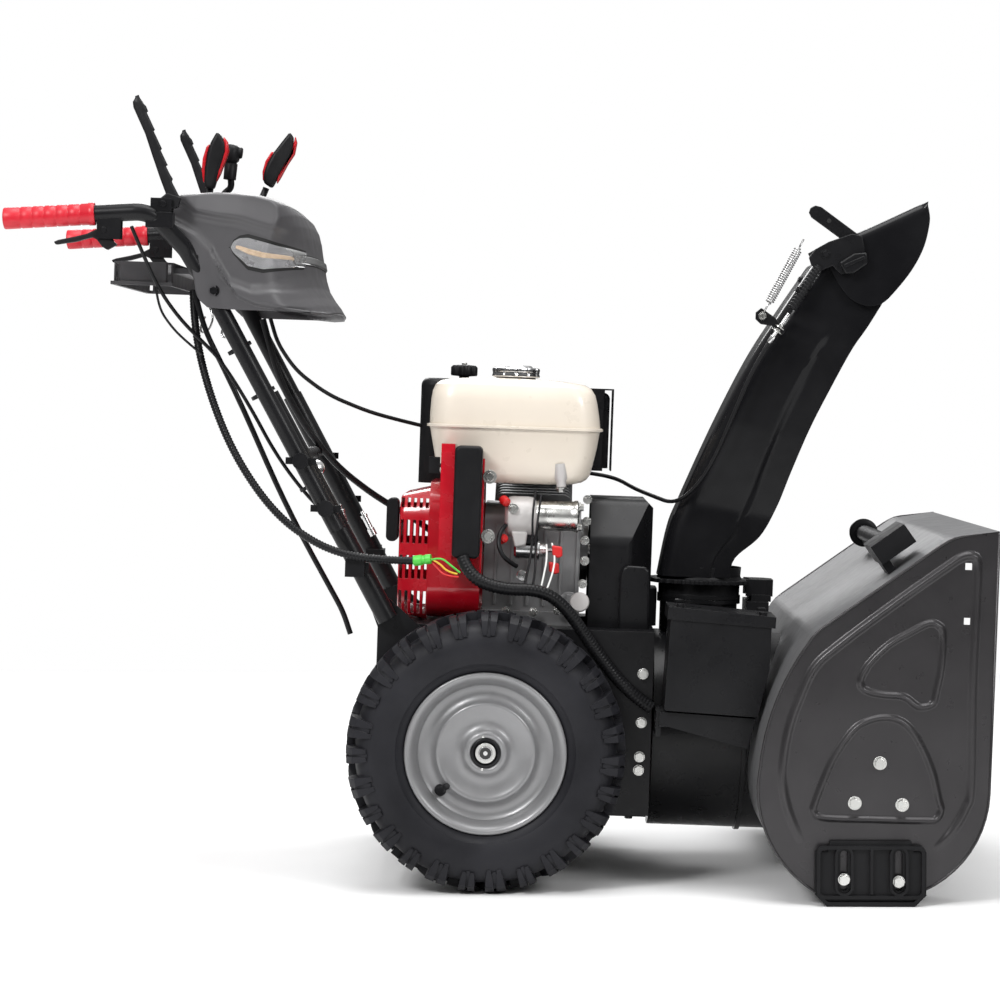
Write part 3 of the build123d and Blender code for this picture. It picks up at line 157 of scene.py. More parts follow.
def finish(name, colour, rough, metal=0.0, coat=0.0, vary=0.14, grain=1400.0, relief=0.1, smudge=0.07, scratches=0.0,
           shine=0.5):
    """Paint, plastic, rubber or metal: uneven colour, smudges, a fine grain and, if asked, fine scratches."""
    shader = Shader(name, rough, metal, coat)
    socket(shader.surface, "Specular IOR Level", shine)
    dark = [c * (1 - vary) for c in colour]
    light = [min(1.0, c * (1 + vary) + 0.004) for c in colour]
    tone = shader.mix(shader.ranged(shader.noise(11), 0, 1), dark, light)
    if scratches:
        lines = shader.ranged(shader.noise(90, 9, (1, 1, 14)), 0, scratches, 0.62, 0.74)
        tone = shader.mix(lines, tone, [min(1.0, c * 1.5 + 0.05) for c in colour])
    shader.colour(tone)
    shader.rough(shader.ranged(shader.noise(45, 4), max(0.03, rough - smudge), rough + smudge))
    soft_edge = shader.node("ShaderNodeBevel")
    soft_edge.samples = 4
    socket(soft_edge, "Radius", 0.0012)
    shader.height = soft_edge.outputs["Normal"]
    shader.bump(shader.noise(grain, 3), relief, 0.00012)
    shader.bump(shader.noise(28, 3), 0.05, 0.002)
    return shader.material


def worn(name, colour, rough, bare, amount):
    """Paint rubbed through to bare steel in patches."""
    shader = Shader(name, rough)
    patches = shader.ranged(shader.noise(34, 12), 0, 1, 0.70 - amount, 0.74 - amount)
    paint = shader.mix(shader.ranged(shader.noise(12), 0, 1), [c * 0.8 for c in colour], colour)
    shader.colour(shader.mix(patches, paint, bare))
    shader.link(patches, shader.surface.inputs["Metallic"])
    shader.rough(shader.ranged(shader.noise(60, 8), rough - 0.08, rough + 0.12))
    shader.bump(patches, -0.25, 0.0008)
    shader.bump(shader.noise(700, 4), 0.12, 0.0006)
    return shader.material


def clear_plastic(name, colour):
    shader = Shader(name, 0.08)
    socket(shader.surface, "Transmission Weight", 0.97)
    socket(shader.surface, "IOR", 1.18)
    shader.colour(shader.mix(shader.ranged(shader.noise(30), 0, 1), [c * 0.92 for c in colour], colour))
    shader.rough(shader.ranged(shader.noise(120, 8), 0.04, 0.14))
    shader.bump(shader.noise(500, 2, (1, 1, 0.1)), 0.25, 0.0002)
    return shader.material


# Colour, roughness, metal, coat, unevenness, grain, relief, smudge and scratches of each slot's finish.
FINISHES = {
    "housing_sheet": ((0.16, 0.16, 0.165), 0.42, 0.35, 0.0, 0.08, 1500, 0.1),
    "side_plate": ((0.040, 0.038, 0.040), 0.3, 0.55, 0.1, 0.08, 2600, 0.3, 0.03),
    "black_steel": ((0.007, 0.007, 0.008), 0.3, 0.0, 0.0, 0.1, 1600, 0.1, 0.05),
    "chute_plastic": ((0.005, 0.005, 0.006), 0.2, 0.0, 0.0, 0.1, 2200, 0.04, 0.03),
    "black_plastic": ((0.008, 0.008, 0.009), 0.42, 0.0, 0.0, 0.15, 1100, 0.22),
    "dash_plastic": ((0.066, 0.064, 0.068), 0.42, 0.0, 0.0, 0.06, 1700, 0.26, 0.05),
    "red_paint": ((0.50, 0.003, 0.014), 0.24, 0.0, 0.6, 0.08, 900, 0.05),
    "tank_paint": ((0.70, 0.63, 0.54), 0.32, 0.0, 0.3, 0.03, 700, 0.04),
    "cast_aluminium": ((0.30, 0.30, 0.305), 0.42, 0.85, 0.0, 0.16, 420, 0.45, 0.1),
    "zinc_steel": ((0.62, 0.62, 0.60), 0.28, 1.0, 0.0, 0.14, 800, 0.15, 0.1, 0.2),
    "bright_steel": ((0.66, 0.66, 0.66), 0.22, 1.0, 0.0, 0.1, 800, 0.1, 0.08, 0.25),
    "cap_chrome": ((0.74, 0.74, 0.75), 0.14, 1.0, 0.0, 0.05, 500, 0.03, 0.05, 0.1),
    "rim_paint": ((0.235, 0.235, 0.24), 0.36, 0.4, 0.1, 0.07, 1500, 0.1, 0.06),
    "tyre_rubber": ((0.012, 0.012, 0.015), 0.5, 0.0, 0.0, 0.25, 900, 0.3, 0.1),
    "belt_rubber": ((0.02, 0.02, 0.02), 0.6, 0.0, 0.0, 0.2, 900, 0.3),
    "grip_red": ((0.55, 0.006, 0.02), 0.42, 0.0, 0.0, 0.08, 1500, 0.25),
    "cable_black": ((0.007, 0.007, 0.008), 0.34, 0.0, 0.0, 0.2, 1200, 0.12),
    "lever_plastic": ((0.009, 0.009, 0.010), 0.42, 0.0, 0.0, 0.2, 1300, 0.3),
}
# Black finishes mirror less of a bright room.
SHINE = {
    "side_plate": 0.4, "black_steel": 0.2, "chute_plastic": 0.18, "black_plastic": 0.15, "tyre_rubber": 0.18,
    "cable_black": 0.2, "lever_plastic": 0.2,
}
# Finishes that a slot has besides its main one, each with its slot first.
EXTRA_FINISHES = {
    "red_edge": ("lever_plastic", (0.55, 0.005, 0.012), 0.3, 0.0, 0.2, 0.06),
    "red_terminal": ("cable_black", (0.6, 0.01, 0.01), 0.4),
    "white_wire": ("cable_black", (0.75, 0.75, 0.73), 0.4, 0.0, 0.0, 0.05),
    "green_plug": ("cable_black", (0.08, 0.55, 0.06), 0.4, 0.0, 0.0, 0.08),
    "yellow_wire": ("cable_black", (0.7, 0.45, 0.03), 0.4, 0.0, 0.0, 0.08),
    "gear_grey": ("cast_aluminium", (0.52, 0.50, 0.49), 0.45, 0.2, 0.0, 0.05, 900, 0.2),
    # Near-black painted shade for the gap round the lamp and for the inside of the deflector arm's slot.
    "painted_gap_shade": ("black_plastic", (0.004, 0.004, 0.004), 0.7),
    "reflector": ("lens", (0.34, 0.34, 0.35), 0.32, 0.3, 0.0, 0.1, 300, 0.5),
}
look = {name: finish(name, *values, shine=SHINE.get(name, 0.5)) for name, values in FINISHES.items()}
look["lens"] = clear_plastic("lens", (0.92, 0.92, 0.92))
look["impeller_paint"] = worn("impeller_paint", (0.42, 0.015, 0.012), 0.4, (0.45, 0.44, 0.43), 0.06)
look["auger_paint"] = worn("auger_paint", (0.012, 0.012, 0.012), 0.36, (0.42, 0.41, 0.40), 0.06)
look_in_slot = {name: (values[0], finish(name, *values[1:])) for name, values in EXTRA_FINISHES.items()}
led = Shader("led_strip", 0.5)
led.colour(led.mix(led.ranged(led.noise(160, 2), 0, 1), (0.50, 0.36, 0.24), (0.62, 0.47, 0.33)))
socket(led.surface, "Emission Color", (1.0, 0.78, 0.5, 1.0))
socket(led.surface, "Emission Strength", 0.05)
look_in_slot["led_strip"] = ("lens", led.material)

for part in frame["record"]["subparts"]:
    slots = nodes[part["node"]].data.materials
    for index in range(len(slots)):
        slots[index] = look[part["material_slot"]]
    if not len(slots):
        slots.append(look[part["material_slot"]])


# ------------------------------------------------------------------ pieces
def dressed(obj, body, finish_name, hides=()):
    """Give a piece its material, set it on its body and hide the CAD nodes it stands for."""
    slot_name, material = look_in_slot.get(finish_name, (finish_name, look.get(finish_name)))
    obj.data.materials.append(material)
    if body:
        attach(obj, body)
    if hides:
        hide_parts(*hides)
    return obj


def mesh_piece(name, points, faces, body, finish_name, hides=(), crease=38.0):
    """A mesh of machine-frame points in millimetres, its normals turned outward."""
    data = bpy.data.meshes.new(name)
    data.from_pydata([at(*p) for p in points], [], faces)
    work = bmesh.new()
    work.from_mesh(data)
    bmesh.ops.remove_doubles(work, verts=work.verts, dist=1e-6)
    bmesh.ops.recalc_face_normals(work, faces=work.faces)
    work.to_mesh(data)
    work.free()
    data.shade_smooth()
    data.set_sharp_from_angle(angle=radians(crease))
    obj = bpy.data.objects.new(name, data)
    scene.collection.objects.link(obj)
    return dressed(obj, body, finish_name, hides)


def lattice(rows, wrap_points=True, caps=False):
    """Faces between rows of points, each row as long as the others."""
    count, size = len(rows), len(rows[0])
    faces = []
    for first in range(0, (count - 1) * size, size):
        for j in range(size if wrap_points else size - 1):
            k = (j + 1) % size
            faces.append([first + j, first + k, first + size + k, first + size + j])
    if caps:
        faces.append(list(range(size)))
        faces.append(list(range((count - 1) * size, count * size)))
    return faces


def net(name, rows, body, finish_name, wrap_points=True, caps=False, ends=False, **options):
    """A skin over rows of points; ends closes a channel's two ends, where each row runs out and back."""
    points = [p for row in rows for p in row]
    faces = lattice(rows, wrap_points, caps)
    if ends:
        size = len(rows[0])
        for first in (0, (len(rows) - 1) * size):
            last = first + size - 1
            faces += [[first + j, first + j + 1, last - j - 1, last - j] for j in range(size // 2 - 1)]
    return mesh_piece(name, points, faces, body, finish_name, **options)


def across(direction):
    """Two directions square to a direction and to each other."""
    direction = Vector(direction).normalized()
    side = direction.cross(Vector((0, 1, 0)) if abs(direction.y) < 0.9 else Vector((1, 0, 0))).normalized()
    return direction, side, direction.cross(side)


def turned(name, start, direction, profile, body, finish_name, steps=48, caps=False, **options):
    """A turned piece: profile gives (distance along the axis, radius)."""
    direction, side, up = across(direction)
    rows = []
    for along, radius in profile:
        centre = Vector(start) + direction * along
        rows.append([
            centre + (side * cos(2 * pi * k / steps) + up * sin(2 * pi * k / steps)) * radius for k in range(steps)
        ])
    return net(name, rows, body, finish_name, caps=caps, **options)


def block(name, outline, y_range, body, finish_name, bevel=1.0, hides=(), segments=3):
    """A plate or block with a side-view outline (x, z) and rounded edges."""
    size = len(outline)
    points = [(x, y, z) for y in y_range for x, z in outline]
    faces = [list(range(size)), list(range(size, 2 * size))]
    faces += [[j, (j + 1) % size, size + (j + 1) % size, size + j] for j in range(size)]
    piece = mesh_piece(name, points, faces, body, finish_name, hides=hides, crease=30)
    modifier = piece.modifiers.new("round edges", "BEVEL")
    modifier.width = bevel / 1000
    modifier.segments = segments
    modifier.limit_method = "ANGLE"
    return piece


def spline_object(name, route, radius=0.0):
    """A curve with the route's points as its control points."""
    curve = bpy.data.curves.new(name, "CURVE")
    curve.dimensions = "3D"
    curve.resolution_u = 10
    curve.bevel_depth = radius / 1000
    curve.bevel_resolution = 5
    curve.use_fill_caps = True
    line = curve.splines.new("NURBS")
    line.points.add(len(route) - 1)
    for point, place in zip(line.points, route):
        point.co = (*at(*place), 1.0)
    line.order_u = 3
    line.use_endpoint_u = True
    obj = bpy.data.objects.new(name, curve)
    scene.collection.objects.link(obj)
    return obj


def cable(name, route, radius, body, finish_name="cable_black", hides=()):
    return dressed(spline_object(name, route, radius), body, finish_name, hides)


def line_through(route, spacing):
    """Evenly spaced row-frame points along the route's spline."""
    guide = spline_object("guide", route)
    line = bpy.data.meshes.new_from_object(guide)
    raw = [v.co.copy() for v in line.vertices]
    bpy.data.objects.remove(guide)
    bpy.data.meshes.remove(line)
    placed, carry = [raw[0]], 0.0
    for a, b in zip(raw, raw[1:]):
        length = (b - a).length
        while carry + length >= spacing / 1000 and length > 0:
            a = a + (b - a) * ((spacing / 1000 - carry) / length)
            placed.append(a)
            length, carry = (b - a).length, 0.0
        carry += length
    return placed


def tube_mesh(name, line, radii, body, finish_name, hides=(), steps=14):
    """A round mesh tube along row-frame points; radii is one radius in millimetres, or a list of one for each."""
    if not isinstance(radii, list):
        radii = [radii] * len(line)
    ahead = (line[1] - line[0]).normalized()
    side = ahead.cross(Vector((0, 1, 0.3))).normalized()
    points = []
    for i, centre in enumerate(line):
        ahead = (line[min(i + 1, len(line) - 1)] - line[max(i - 1, 0)]).normalized()
        side = (side - ahead * side.dot(ahead)).normalized()
        up = ahead.cross(side)
        radius = radii[i] / 1000
        points += [
            centre + (side * cos(2 * pi * k / steps) + up * sin(2 * pi * k / steps)) * radius for k in range(steps)
        ]
    data = bpy.data.meshes.new(name)
    data.from_pydata(points, [], lattice([range(steps)] * len(line), caps=True))
    data.shade_smooth()
    obj = bpy.data.objects.new(name, data)
    scene.collection.objects.link(obj)
    return dressed(obj, body, finish_name, hides)


def ribbed(name, route, radius, body, pitch=5.0, depth=1.1, hides=(), finish_name="cable_black"):
    """Corrugated conduit along a route."""
    line = line_through(route, pitch / 3)
    radii = [radius - (depth if i % 3 == 0 else 0.0) for i in range(len(line))]
    return tube_mesh(name, line, radii, body, finish_name, hides)


def hex_head(name, seat, out, across_flats, height, body, finish_name="zinc_steel", washer=1.45):
    """A hexagon head with a chamfered crown, on a washer."""
    direction, side, up = across(out)
    r = across_flats / sqrt(3)
    rows = []
    for along, radius, sides in (
        (0, r * washer, 24), (1.5, r * washer, 24), (1.5, r, 6), (height + 0.5, r, 6), (height + 1.5, r * 0.86, 24),
    ):
        ring = []
        for k in range(24):
            angle = 2 * pi * k / 24
            flat = cos(pi / 6) / cos((angle % (pi / 3)) - pi / 6) if sides == 6 else 1.0
            ring.append(Vector(seat) + direction * along + (side * cos(angle) + up * sin(angle)) * (radius * flat))
        rows.append(ring)
    return net(name, rows, body, finish_name, caps=True, crease=25)


# ------------------------------------------------------------------ wheels
CARCASS = [
    (-40, 112), (-45, 114), (-49, 119), (-53, 126), (-56, 128), (-57.5, 132), (-60, 142), (-61, 152), (-60, 162),
    (-57, 171), (-52, 178), (-44, 183), (-30, 186), (-15, 187.5), (0, 188), (15, 187.5), (30, 186), (44, 183),
    (52, 178), (57, 171), (60, 162), (61, 152), (60, 142), (57.5, 132), (56, 128), (53, 126), (49, 119), (45, 114),
    (40, 112),
]
LUG_SECTION = [(16, 184), (16, 199.4), (34, 199), (46, 197), (56, 189), (60.5, 176), (61, 164), (57, 164), (40, 180)]
VEE_SECTION = [(17, 184), (17, 197.4), (50, 192), (59.5, 176), (60, 167), (40, 180)]
LUGS = 27
RIB_HALF_WIDTHS = [5.4, 4.4, 4.4, 4.4, 4.2, 3.6, 2.2, 3.0, 5.4]
RIB_OFFSET = 5.6
VEE_HALF_WIDTHS = [9, 7, 7, 4.5, 2.6, 9]
CENTRE_BAR = [(-13, 185), (-13, 199.6), (0, 200), (13, 199.6), (13, 185)]
CENTRE_LEAN = 0.45
TREAD_RADIUS = 190.0
TYRE_STEPS = 128


def tyre(hand, side_name):
    """A lugged tyre: a smooth carcass with staggered blocks and leaning centre bars."""

    def tread_point(y, r, turn):
        return (r * sin(turn), hand * WHEEL_Y + y, AXLE_Z + r * cos(turn))

    points = [tread_point(y, r, 2 * pi * k / TYRE_STEPS) for y, r in CARCASS for k in range(TYRE_STEPS)]
    faces = lattice([range(TYRE_STEPS)] * len(CARCASS))

    def add_block(section, half_widths, angle, lean=0.0):
        """A solid between its two drafted flanks; each section point has its own half width in millimetres."""
        first, size = len(points), len(section)
        for flank in (-1, 1):
            for (y, r), half in zip(section, half_widths):
                points.append(tread_point(y, r, angle + (flank * half + lean * y) / TREAD_RADIUS))
        faces.extend([[first + j for j in range(size)], [first + size + j for j in range(size)]])
        for j in range(size):
            k = (j + 1) % size
            faces.append([first + j, first + k, first + size + k, first + size + j])

    for cheek in (-1, 1):
        for k in range(LUGS):
            angle = 2 * pi * (k + (0.5 if cheek > 0 else 0.0)) / LUGS + random.uniform(-0.012, 0.012)
            wide = 1.45 if k % 2 else 1.15
            section = [(cheek * y, r - (0 if r > 170 or k % 2 else -5)) for y, r in LUG_SECTION]
            # two ribs with a V between them make up one lug
            for rib in (-1, 1):
                shift = rib * RIB_OFFSET * wide / TREAD_RADIUS
                add_block(section, [w * wide for w in RIB_HALF_WIDTHS], angle + shift)
            add_block([(cheek * y, r) for y, r in VEE_SECTION], VEE_HALF_WIDTHS, angle)
    for k in range(LUGS):
        lean = CENTRE_LEAN if k % 2 else -CENTRE_LEAN
        add_block(CENTRE_BAR, [9.0] * len(CENTRE_BAR), 2 * pi * (k + 0.25) / LUGS, lean)
    mesh_piece("tyre_" + side_name, points, faces, "wheel_" + side_name, "tyre_rubber",
               hides=("tyre_" + side_name,), crease=32)


# Turned profiles of a wheel's parts, as (distance outward from the wheel's middle, radius).
RIM_FACE = (
    (30, 97), (38, 100.5), (46, 104), (49.5, 108), (51.5, 111), (51.5, 114), (49.5, 115.6), (47, 115), (45.5, 112),
    (43.5, 110.5), (42, 107.5), (41, 104), (36, 101), (30.5, 98), (27.5, 94), (26, 88), (26.5, 82), (28.5, 77),
    (31.5, 73.5), (34, 71.5), (36, 70), (36.5, 67), (35, 64), (33, 58), (31.8, 52), (31, 46), (31.5, 40), (34, 35),
    (38, 31.5), (41, 29), (42, 25.5), (41, 22.5), (38, 21),
)
BARREL = (
    (38, 21), (30, 24), (24, 60), (18, 86), (-18, 88), (-30, 99), (-45, 103), (-49, 112), (-48, 115.6), (-44, 113),
    (-38, 99), (-24, 92), (-10, 90), (22, 92), (30, 97),
)
HUB = (
    (-70, 12), (-70, 17), (30, 17), (37, 17), (38, 21.4), (40.5, 21.4), (41.5, 20), (41.5, 17.5), (39, 16.4), (36, 13),
    (36, 10.2),
)
HUB_CLIP = ((40, 10), (40, 14.5), (41.4, 14.5), (41.4, 10))
AXLE_END = ((30, 9.6), (43, 9.6), (44, 8.6), (44.4, 3.2), (42.6, 2.4), (42.6, 0.1))
VALVE = ((-2, 8.5), (1, 8.5), (4, 6.2), (8, 4.6), (14, 3.9), (20, 3.7), (20, 4.6), (27, 4.6), (29, 4.0), (29.3, 0.1))
VALVE_ANGLE = radians(222)
VALVE_RADIUS = 84
WELD_RADIUS = 24


def rim(hand, side_name):
    """A pressed wheel disc and barrel, with its hub, clip, axle end, valve and welds."""
    body = "wheel_" + side_name

    def on_axle(label, profile, finish_name, steps, **options):
        turned("%s_%s" % (label, side_name), (0, hand * WHEEL_Y, AXLE_Z), (0, 1, 0),
               [(hand * out, r) for out, r in profile], body, finish_name, steps, **options)

    on_axle("rim", RIM_FACE, "rim_paint", 128, hides=("rim_" + side_name,), crease=60)
    on_axle("rim_barrel", BARREL, "rim_paint", 96, crease=40)
    on_axle("hub", HUB, "black_steel", 48, crease=40)
    on_axle("hub_clip", HUB_CLIP, "zinc_steel", 40)
    on_axle("axle_end", AXLE_END, "belt_rubber", 40, crease=40)
    out = Vector((cos(VALVE_ANGLE), 0, sin(VALVE_ANGLE)))
    foot = Vector((0, hand * (WHEEL_Y + 29), AXLE_Z)) + out * VALVE_RADIUS
    lean = Vector((0, hand * 1.0, 0)) - out * 0.55
    turned("valve_" + side_name, foot, lean, VALVE, body, "black_plastic", 24, crease=40)
    for k in range(2):
        angle = radians(100 + 160 * k)
        spot = (WELD_RADIUS * cos(angle), hand * (WHEEL_Y + 41), AXLE_Z + WELD_RADIUS * sin(angle))
        turned("hub_weld_%s_%d" % (side_name, k), spot, (0, hand, 0), ((-1, 2.6), (0.4, 2.2), (1, 1.2), (1.1, 0.1)),
               body, "zinc_steel", 12)


for hand, side_name in SIDES:
    tyre(hand, side_name)
    rim(hand, side_name)


# ------------------------------------------------------------------ grips and levers
def smooth(edge0, edge1, x):
    t = max(0.0, min(1.0, (x - edge0) / (edge1 - edge0)))
    return t * t * (3 - 2 * t)


for hand, side_name in SIDES:
    profile = [(0, 0.1), (0.2, 11), (1.2, 14.6), (3, 15.4), (8, 15.4)]
    for along in range(25, 111, 17):
        profile += [(along - 1.6, 15.3), (along - 0.9, 14.5), (along + 0.9, 14.5), (along + 1.6, 15.3)]
    profile += [(121, 15.3), (122, 16.2), (129, 16.4), (130.4, 15.6), (130.4, 12.6)]
    turned("grip_" + side_name, (-708, hand * GRIP_Y, 933.3), (130, 0, 11.1), profile, "machine", "grip_red", 56,
           hides=("grips",), crease=50)

LEVER_FRONT = [(-455, 969), (-474, 1004), (-481, 1024), (-494, 1056), (-507, 1087), (-517, 1117)]
LEVER_REAR = [(-477, 969), (-489, 998), (-500, 1027), (-512, 1060), (-530, 1097), (-532, 1111)]


def between(points, t):
    """A point that far along a list of points, by number of runs."""
    t = max(0.0, min(len(points) - 1.000001, t))
    i = int(t)
    f = t - i
    return tuple(a + (b - a) * f for a, b in zip(points[i], points[i + 1]))


def squared(value, power):
    """A sine or cosine pushed towards its ends, which squares up an oval."""
    return abs(value) ** power * (1 if value > 0 else -1)


def clutch_lever(hand, side_name):
    """A long flat blade with stepped ribs along its front and a pointed tip."""
    rows = []
    steps = 60
    for i in range(steps + 1):
        t = i / steps * 5
        front = Vector(between(LEVER_FRONT, t))
        rear = Vector(between(LEVER_REAR, t))
        span = front - rear
        step = (i % 10) / 10
        rib = (1.0 - step) * 3.2 if 8 < i < 54 else 0.0
        front = front - span.normalized() * (3.2 - rib)
        tip = smooth(54, 60, i)
        half = 5.2 - 1.8 * tip
        if i > 52:
            rear = rear + (front - rear) * 0.35 * tip
            front = front + (rear - front) * 0.35 * tip
        ring = []
        for k in range(16):
            angle = 2 * pi * k / 16
            spot = rear + (front - rear) * (0.5 + 0.5 * squared(cos(angle), 0.55))
            ring.append((spot.x, hand * LEVER_Y + half * squared(sin(angle), 0.6), spot.y))
        rows.append(ring)
    net("clutch_blade_" + side_name, rows, "clutch_lever_" + side_name, "lever_plastic", caps=True, crease=42,
        hides=("clutch_lever_" + side_name,))
    block("clutch_root_" + side_name, [(-492, 966), (-488, 954), (-476, 953), (-462, 958), (-458, 972), (-478, 978)],
          (hand * LEVER_Y - 6, hand * LEVER_Y + 6), "clutch_lever_" + side_name, "lever_plastic", 1.5)
    turned("clutch_boss_" + side_name, (-482, hand * LEVER_Y - 7, 962), (0, 1, 0),
           ((0, 4.1), (0, 9), (14, 9), (14, 4.1)), "clutch_lever_" + side_name, "lever_plastic", 32, crease=40)


def trigger(hand, side_name):
    y = hand * GRIP_Y
    block("trigger_" + side_name, [
        (-635, 903), (-628, 906), (-606, 911), (-588, 916), (-575, 923), (-569, 928), (-563, 927), (-560, 930),
        (-556, 924), (-554, 912), (-549, 905), (-545, 902), (-559, 894), (-566, 898), (-574, 908), (-581, 911),
        (-604, 904), (-632, 899),
    ], (y - 6, y + 6), "steering_trigger_" + side_name, "lever_plastic", 1.4, hides=("steering_trigger_" + side_name,))


for hand, side_name in SIDES:
    clutch_lever(hand, side_name)
    trigger(hand, side_name)


def paddle(name, body, y, base, stem, outline, edge_front, edge_rear, hides):
    """A flat moulded grip on a steel stalk, with red soft edges."""
    block(name + "_core", outline, (y - 11, y + 11), body, "lever_plastic", 4.5, hides=hides, segments=4)
    for label, edge in (("front", edge_front), ("rear", edge_rear)):
        block(name + "_" + label, edge, (y - 8.5, y + 8.5), body, "red_edge", 2.4)
    middle = [(a + b) / 2 for a, b in zip(base, stem)]
    line = [at(x, y, z) for x, z in (base, middle, stem)]
    tube_mesh(name + "_stalk", line, 5, body, "black_steel")
    turned(name + "_boss", (base[0], y - 9, base[1]), (0, 1, 0), ((0, 4.1), (0, 8.6), (18, 8.6), (18, 4.1)), body,
           "black_steel", 28, crease=40)


paddle("speed", "speed_lever", -60, (-446, 925), (-442, 1004), [
    (-434, 1085), (-428, 1079), (-421, 1068), (-421, 1055), (-425, 1040), (-429, 1026), (-436, 999), (-449, 1000),
    (-451, 1012), (-450, 1030), (-447, 1052), (-443, 1068),
], [(-424, 1078), (-418, 1070), (-416, 1056), (-421, 1040), (-427, 1022), (-433, 1010), (-431, 1026), (-425, 1044),
    (-422, 1058), (-424, 1070)], [(-449, 1062), (-454, 1044), (-455, 1028), (-452, 1008), (-449, 1010), (-450, 1030),
                                  (-448, 1048), (-444, 1066)], ("speed_lever",))
paddle("deflector_control", "deflector_lever", 60, (-402, 925), (-370, 1012), [
    (-336, 1098), (-331, 1090), (-330, 1076), (-334, 1062), (-342, 1048), (-350, 1032), (-361, 1011), (-374, 1019),
    (-374, 1032), (-370, 1046), (-361, 1064), (-348, 1082),
], [(-328, 1092), (-325, 1082), (-328, 1064), (-338, 1048), (-348, 1028), (-354, 1018), (-352, 1030), (-342, 1048),
    (-333, 1064), (-330, 1078)], [(-363, 1067), (-372, 1052), (-376, 1036), (-375, 1022), (-372, 1024), (-372, 1036),
                                  (-368, 1050), (-359, 1066)], ("deflector_lever",))

tube_mesh("joystick_stem", line_through([
    (-430, 0, 930), (-430, 0, 965), (-431, 0, 992), (-425, 0, 1000), (-417, 0, 1006), (-418, 0, 1020), (-420, 0, 1034),
], 3), 5.0, "chute_joystick", "black_steel", hides=("chute_joystick",))
turned("joystick_collar", (-420, 0, 1018), (2, 0, 32), (
    (0, 6), (0.5, 9.5), (24, 10), (26, 8.5), (27, 6),
), "chute_joystick", "black_plastic", 32, crease=40)
turned("joystick_knob", (-421, 0, 1046), (4, 0, 26), (
    (-2, 8), (0, 12), (3, 14), (8, 14.4), (17, 14.2), (22, 12.4), (25, 8), (26, 0.1),
), "chute_joystick", "black_plastic", 40, crease=50)
turned("joystick_button", (-406, 0, 1059), (10, 0, -1), ((-4, 8.5), (2.5, 8.5), (4.2, 7), (4.6, 0.1)),
       "chute_joystick", "black_plastic", 28, crease=40)
turned("joystick_boss", (-441, 0, 930), (1, 0, 0), ((0, 4.1), (0, 8.8), (22, 8.8), (22, 4.1)), "chute_joystick",
       "black_steel", 28, crease=40)


# ------------------------------------------------------------------ fuel tank
def rounded(half_x, half_y, corner, steps=10):
    """Corner-rounded rectangle, as points round from +X+Y."""
    ring = []
    for k, (sx, sy) in enumerate(((1, 1), (-1, 1), (-1, -1), (1, -1))):
        for i in range(steps + 1):
            angle = pi / 2 * (k + i / steps)
            ring.append((sx * (half_x - corner) + corner * cos(angle), sy * (half_y - corner) + corner * sin(angle)))
    return ring


TANK = [
    # height, front x, rear x, half width, corner
    (580, 96, -40, 78, 30), (581.5, 112, -62, 88, 30), (584.5, 124, -74, 95, 30), (589, 131, -81, 99, 30),
    (596, 136, -86, 102, 31), (612, 140, -91, 104, 32), (636, 145, -96, 105.5, 34), (656, 148, -100, 106.5, 36),
    (659.5, 149, -101, 107, 36), (660, 153, -105, 111.5, 39), (663.5, 153, -105, 111.5, 39), (664, 149, -101, 107, 36),
    (680, 147, -101, 106.5, 36), (700, 143.5, -100, 105, 36), (713, 140, -98, 103, 35), (721, 134, -94, 98, 34),
    (726, 125, -87, 90, 33), (728.5, 108, -74, 76, 32), (730, 86, -56, 60, 30), (730.4, 70, -34, 46, 28),
]


def fluted(name, centre, profile, flute, steps, *arguments, **options):
    """An upright turned piece of (height, radius) rings; flute(z, r, k) gives the radius at each step."""
    rows = []
    for z, r in profile:
        ring = []
        for k in range(steps):
            reach, turn = flute(z, r, k), 2 * pi * k / steps
            ring.append((centre[0] + reach * cos(turn), centre[1] + reach * sin(turn), z))
        rows.append(ring)
    net(name, rows, *arguments, crease=40, hides=(name,), **options)


def fuel_tank():
    """The tank with its seam, and the filler neck and cap."""
    rows = []
    for z, front, rear, half_y, corner in TANK:
        middle = (front + rear) / 2
        crown = 4.0 if z > 718 else 0.0
        rows.append([
            (middle + x, TANK_Y + y, z + crown * (1 - abs(middle + x - 10) / 160))
            for x, y in rounded((front - rear) / 2, half_y, corner)
        ])
    net("fuel_tank", rows, "machine", "tank_paint", caps=True, crease=28, hides=("fuel_tank",))
    turned("filler_neck", (22, TANK_Y, 720), (0, 0, 1), (
        (6, 33), (10, 31.5), (12.5, 30), (15.5, 29), (16.5, 27), (16.5, 25),
    ), "machine", "cap_chrome", 64, crease=40)
    fluted("fuel_cap", (22, TANK_Y), (
        (735.5, 33), (736.3, 35), (738, 35.6), (741, 34.6), (744, 35), (747, 35.6), (749.2, 34.8), (750.2, 32),
        (750.4, 25), (752.6, 23), (753.4, 21), (753.6, 0.2),
    ), lambda z, r, k: r - (1.5 if 739 < z < 749.6 and k % 12 < 2 else 0.0), 144, "fuel_cap", "cap_chrome")
    turned("fuel_cap_plug", (22, TANK_Y, 712), (0, 0, 1), ((0, 0.1), (0, 23), (23.5, 23.5), (24, 33)), "fuel_cap",
           "belt_rubber", 48, crease=40)


fuel_tank()
fluted("choke_knob", (-61, 150), (
    (718, 7.8), (736, 7.8), (737, 18), (739, 19), (750, 19), (753, 16), (754, 9),
), lambda z, r, k: r + (1.9 * sin(10 * 2 * pi * k / 120) if r > 15 else 0.0), 120, "choke_knob", "black_plastic",
       caps=True)
turned("choke_screw", (-61, 150, 754), (0, 0, 1), ((0, 4.2), (2.5, 4.2), (3.4, 3.2), (3.6, 0.1)), "choke_knob",
       "zinc_steel", 20, crease=40)


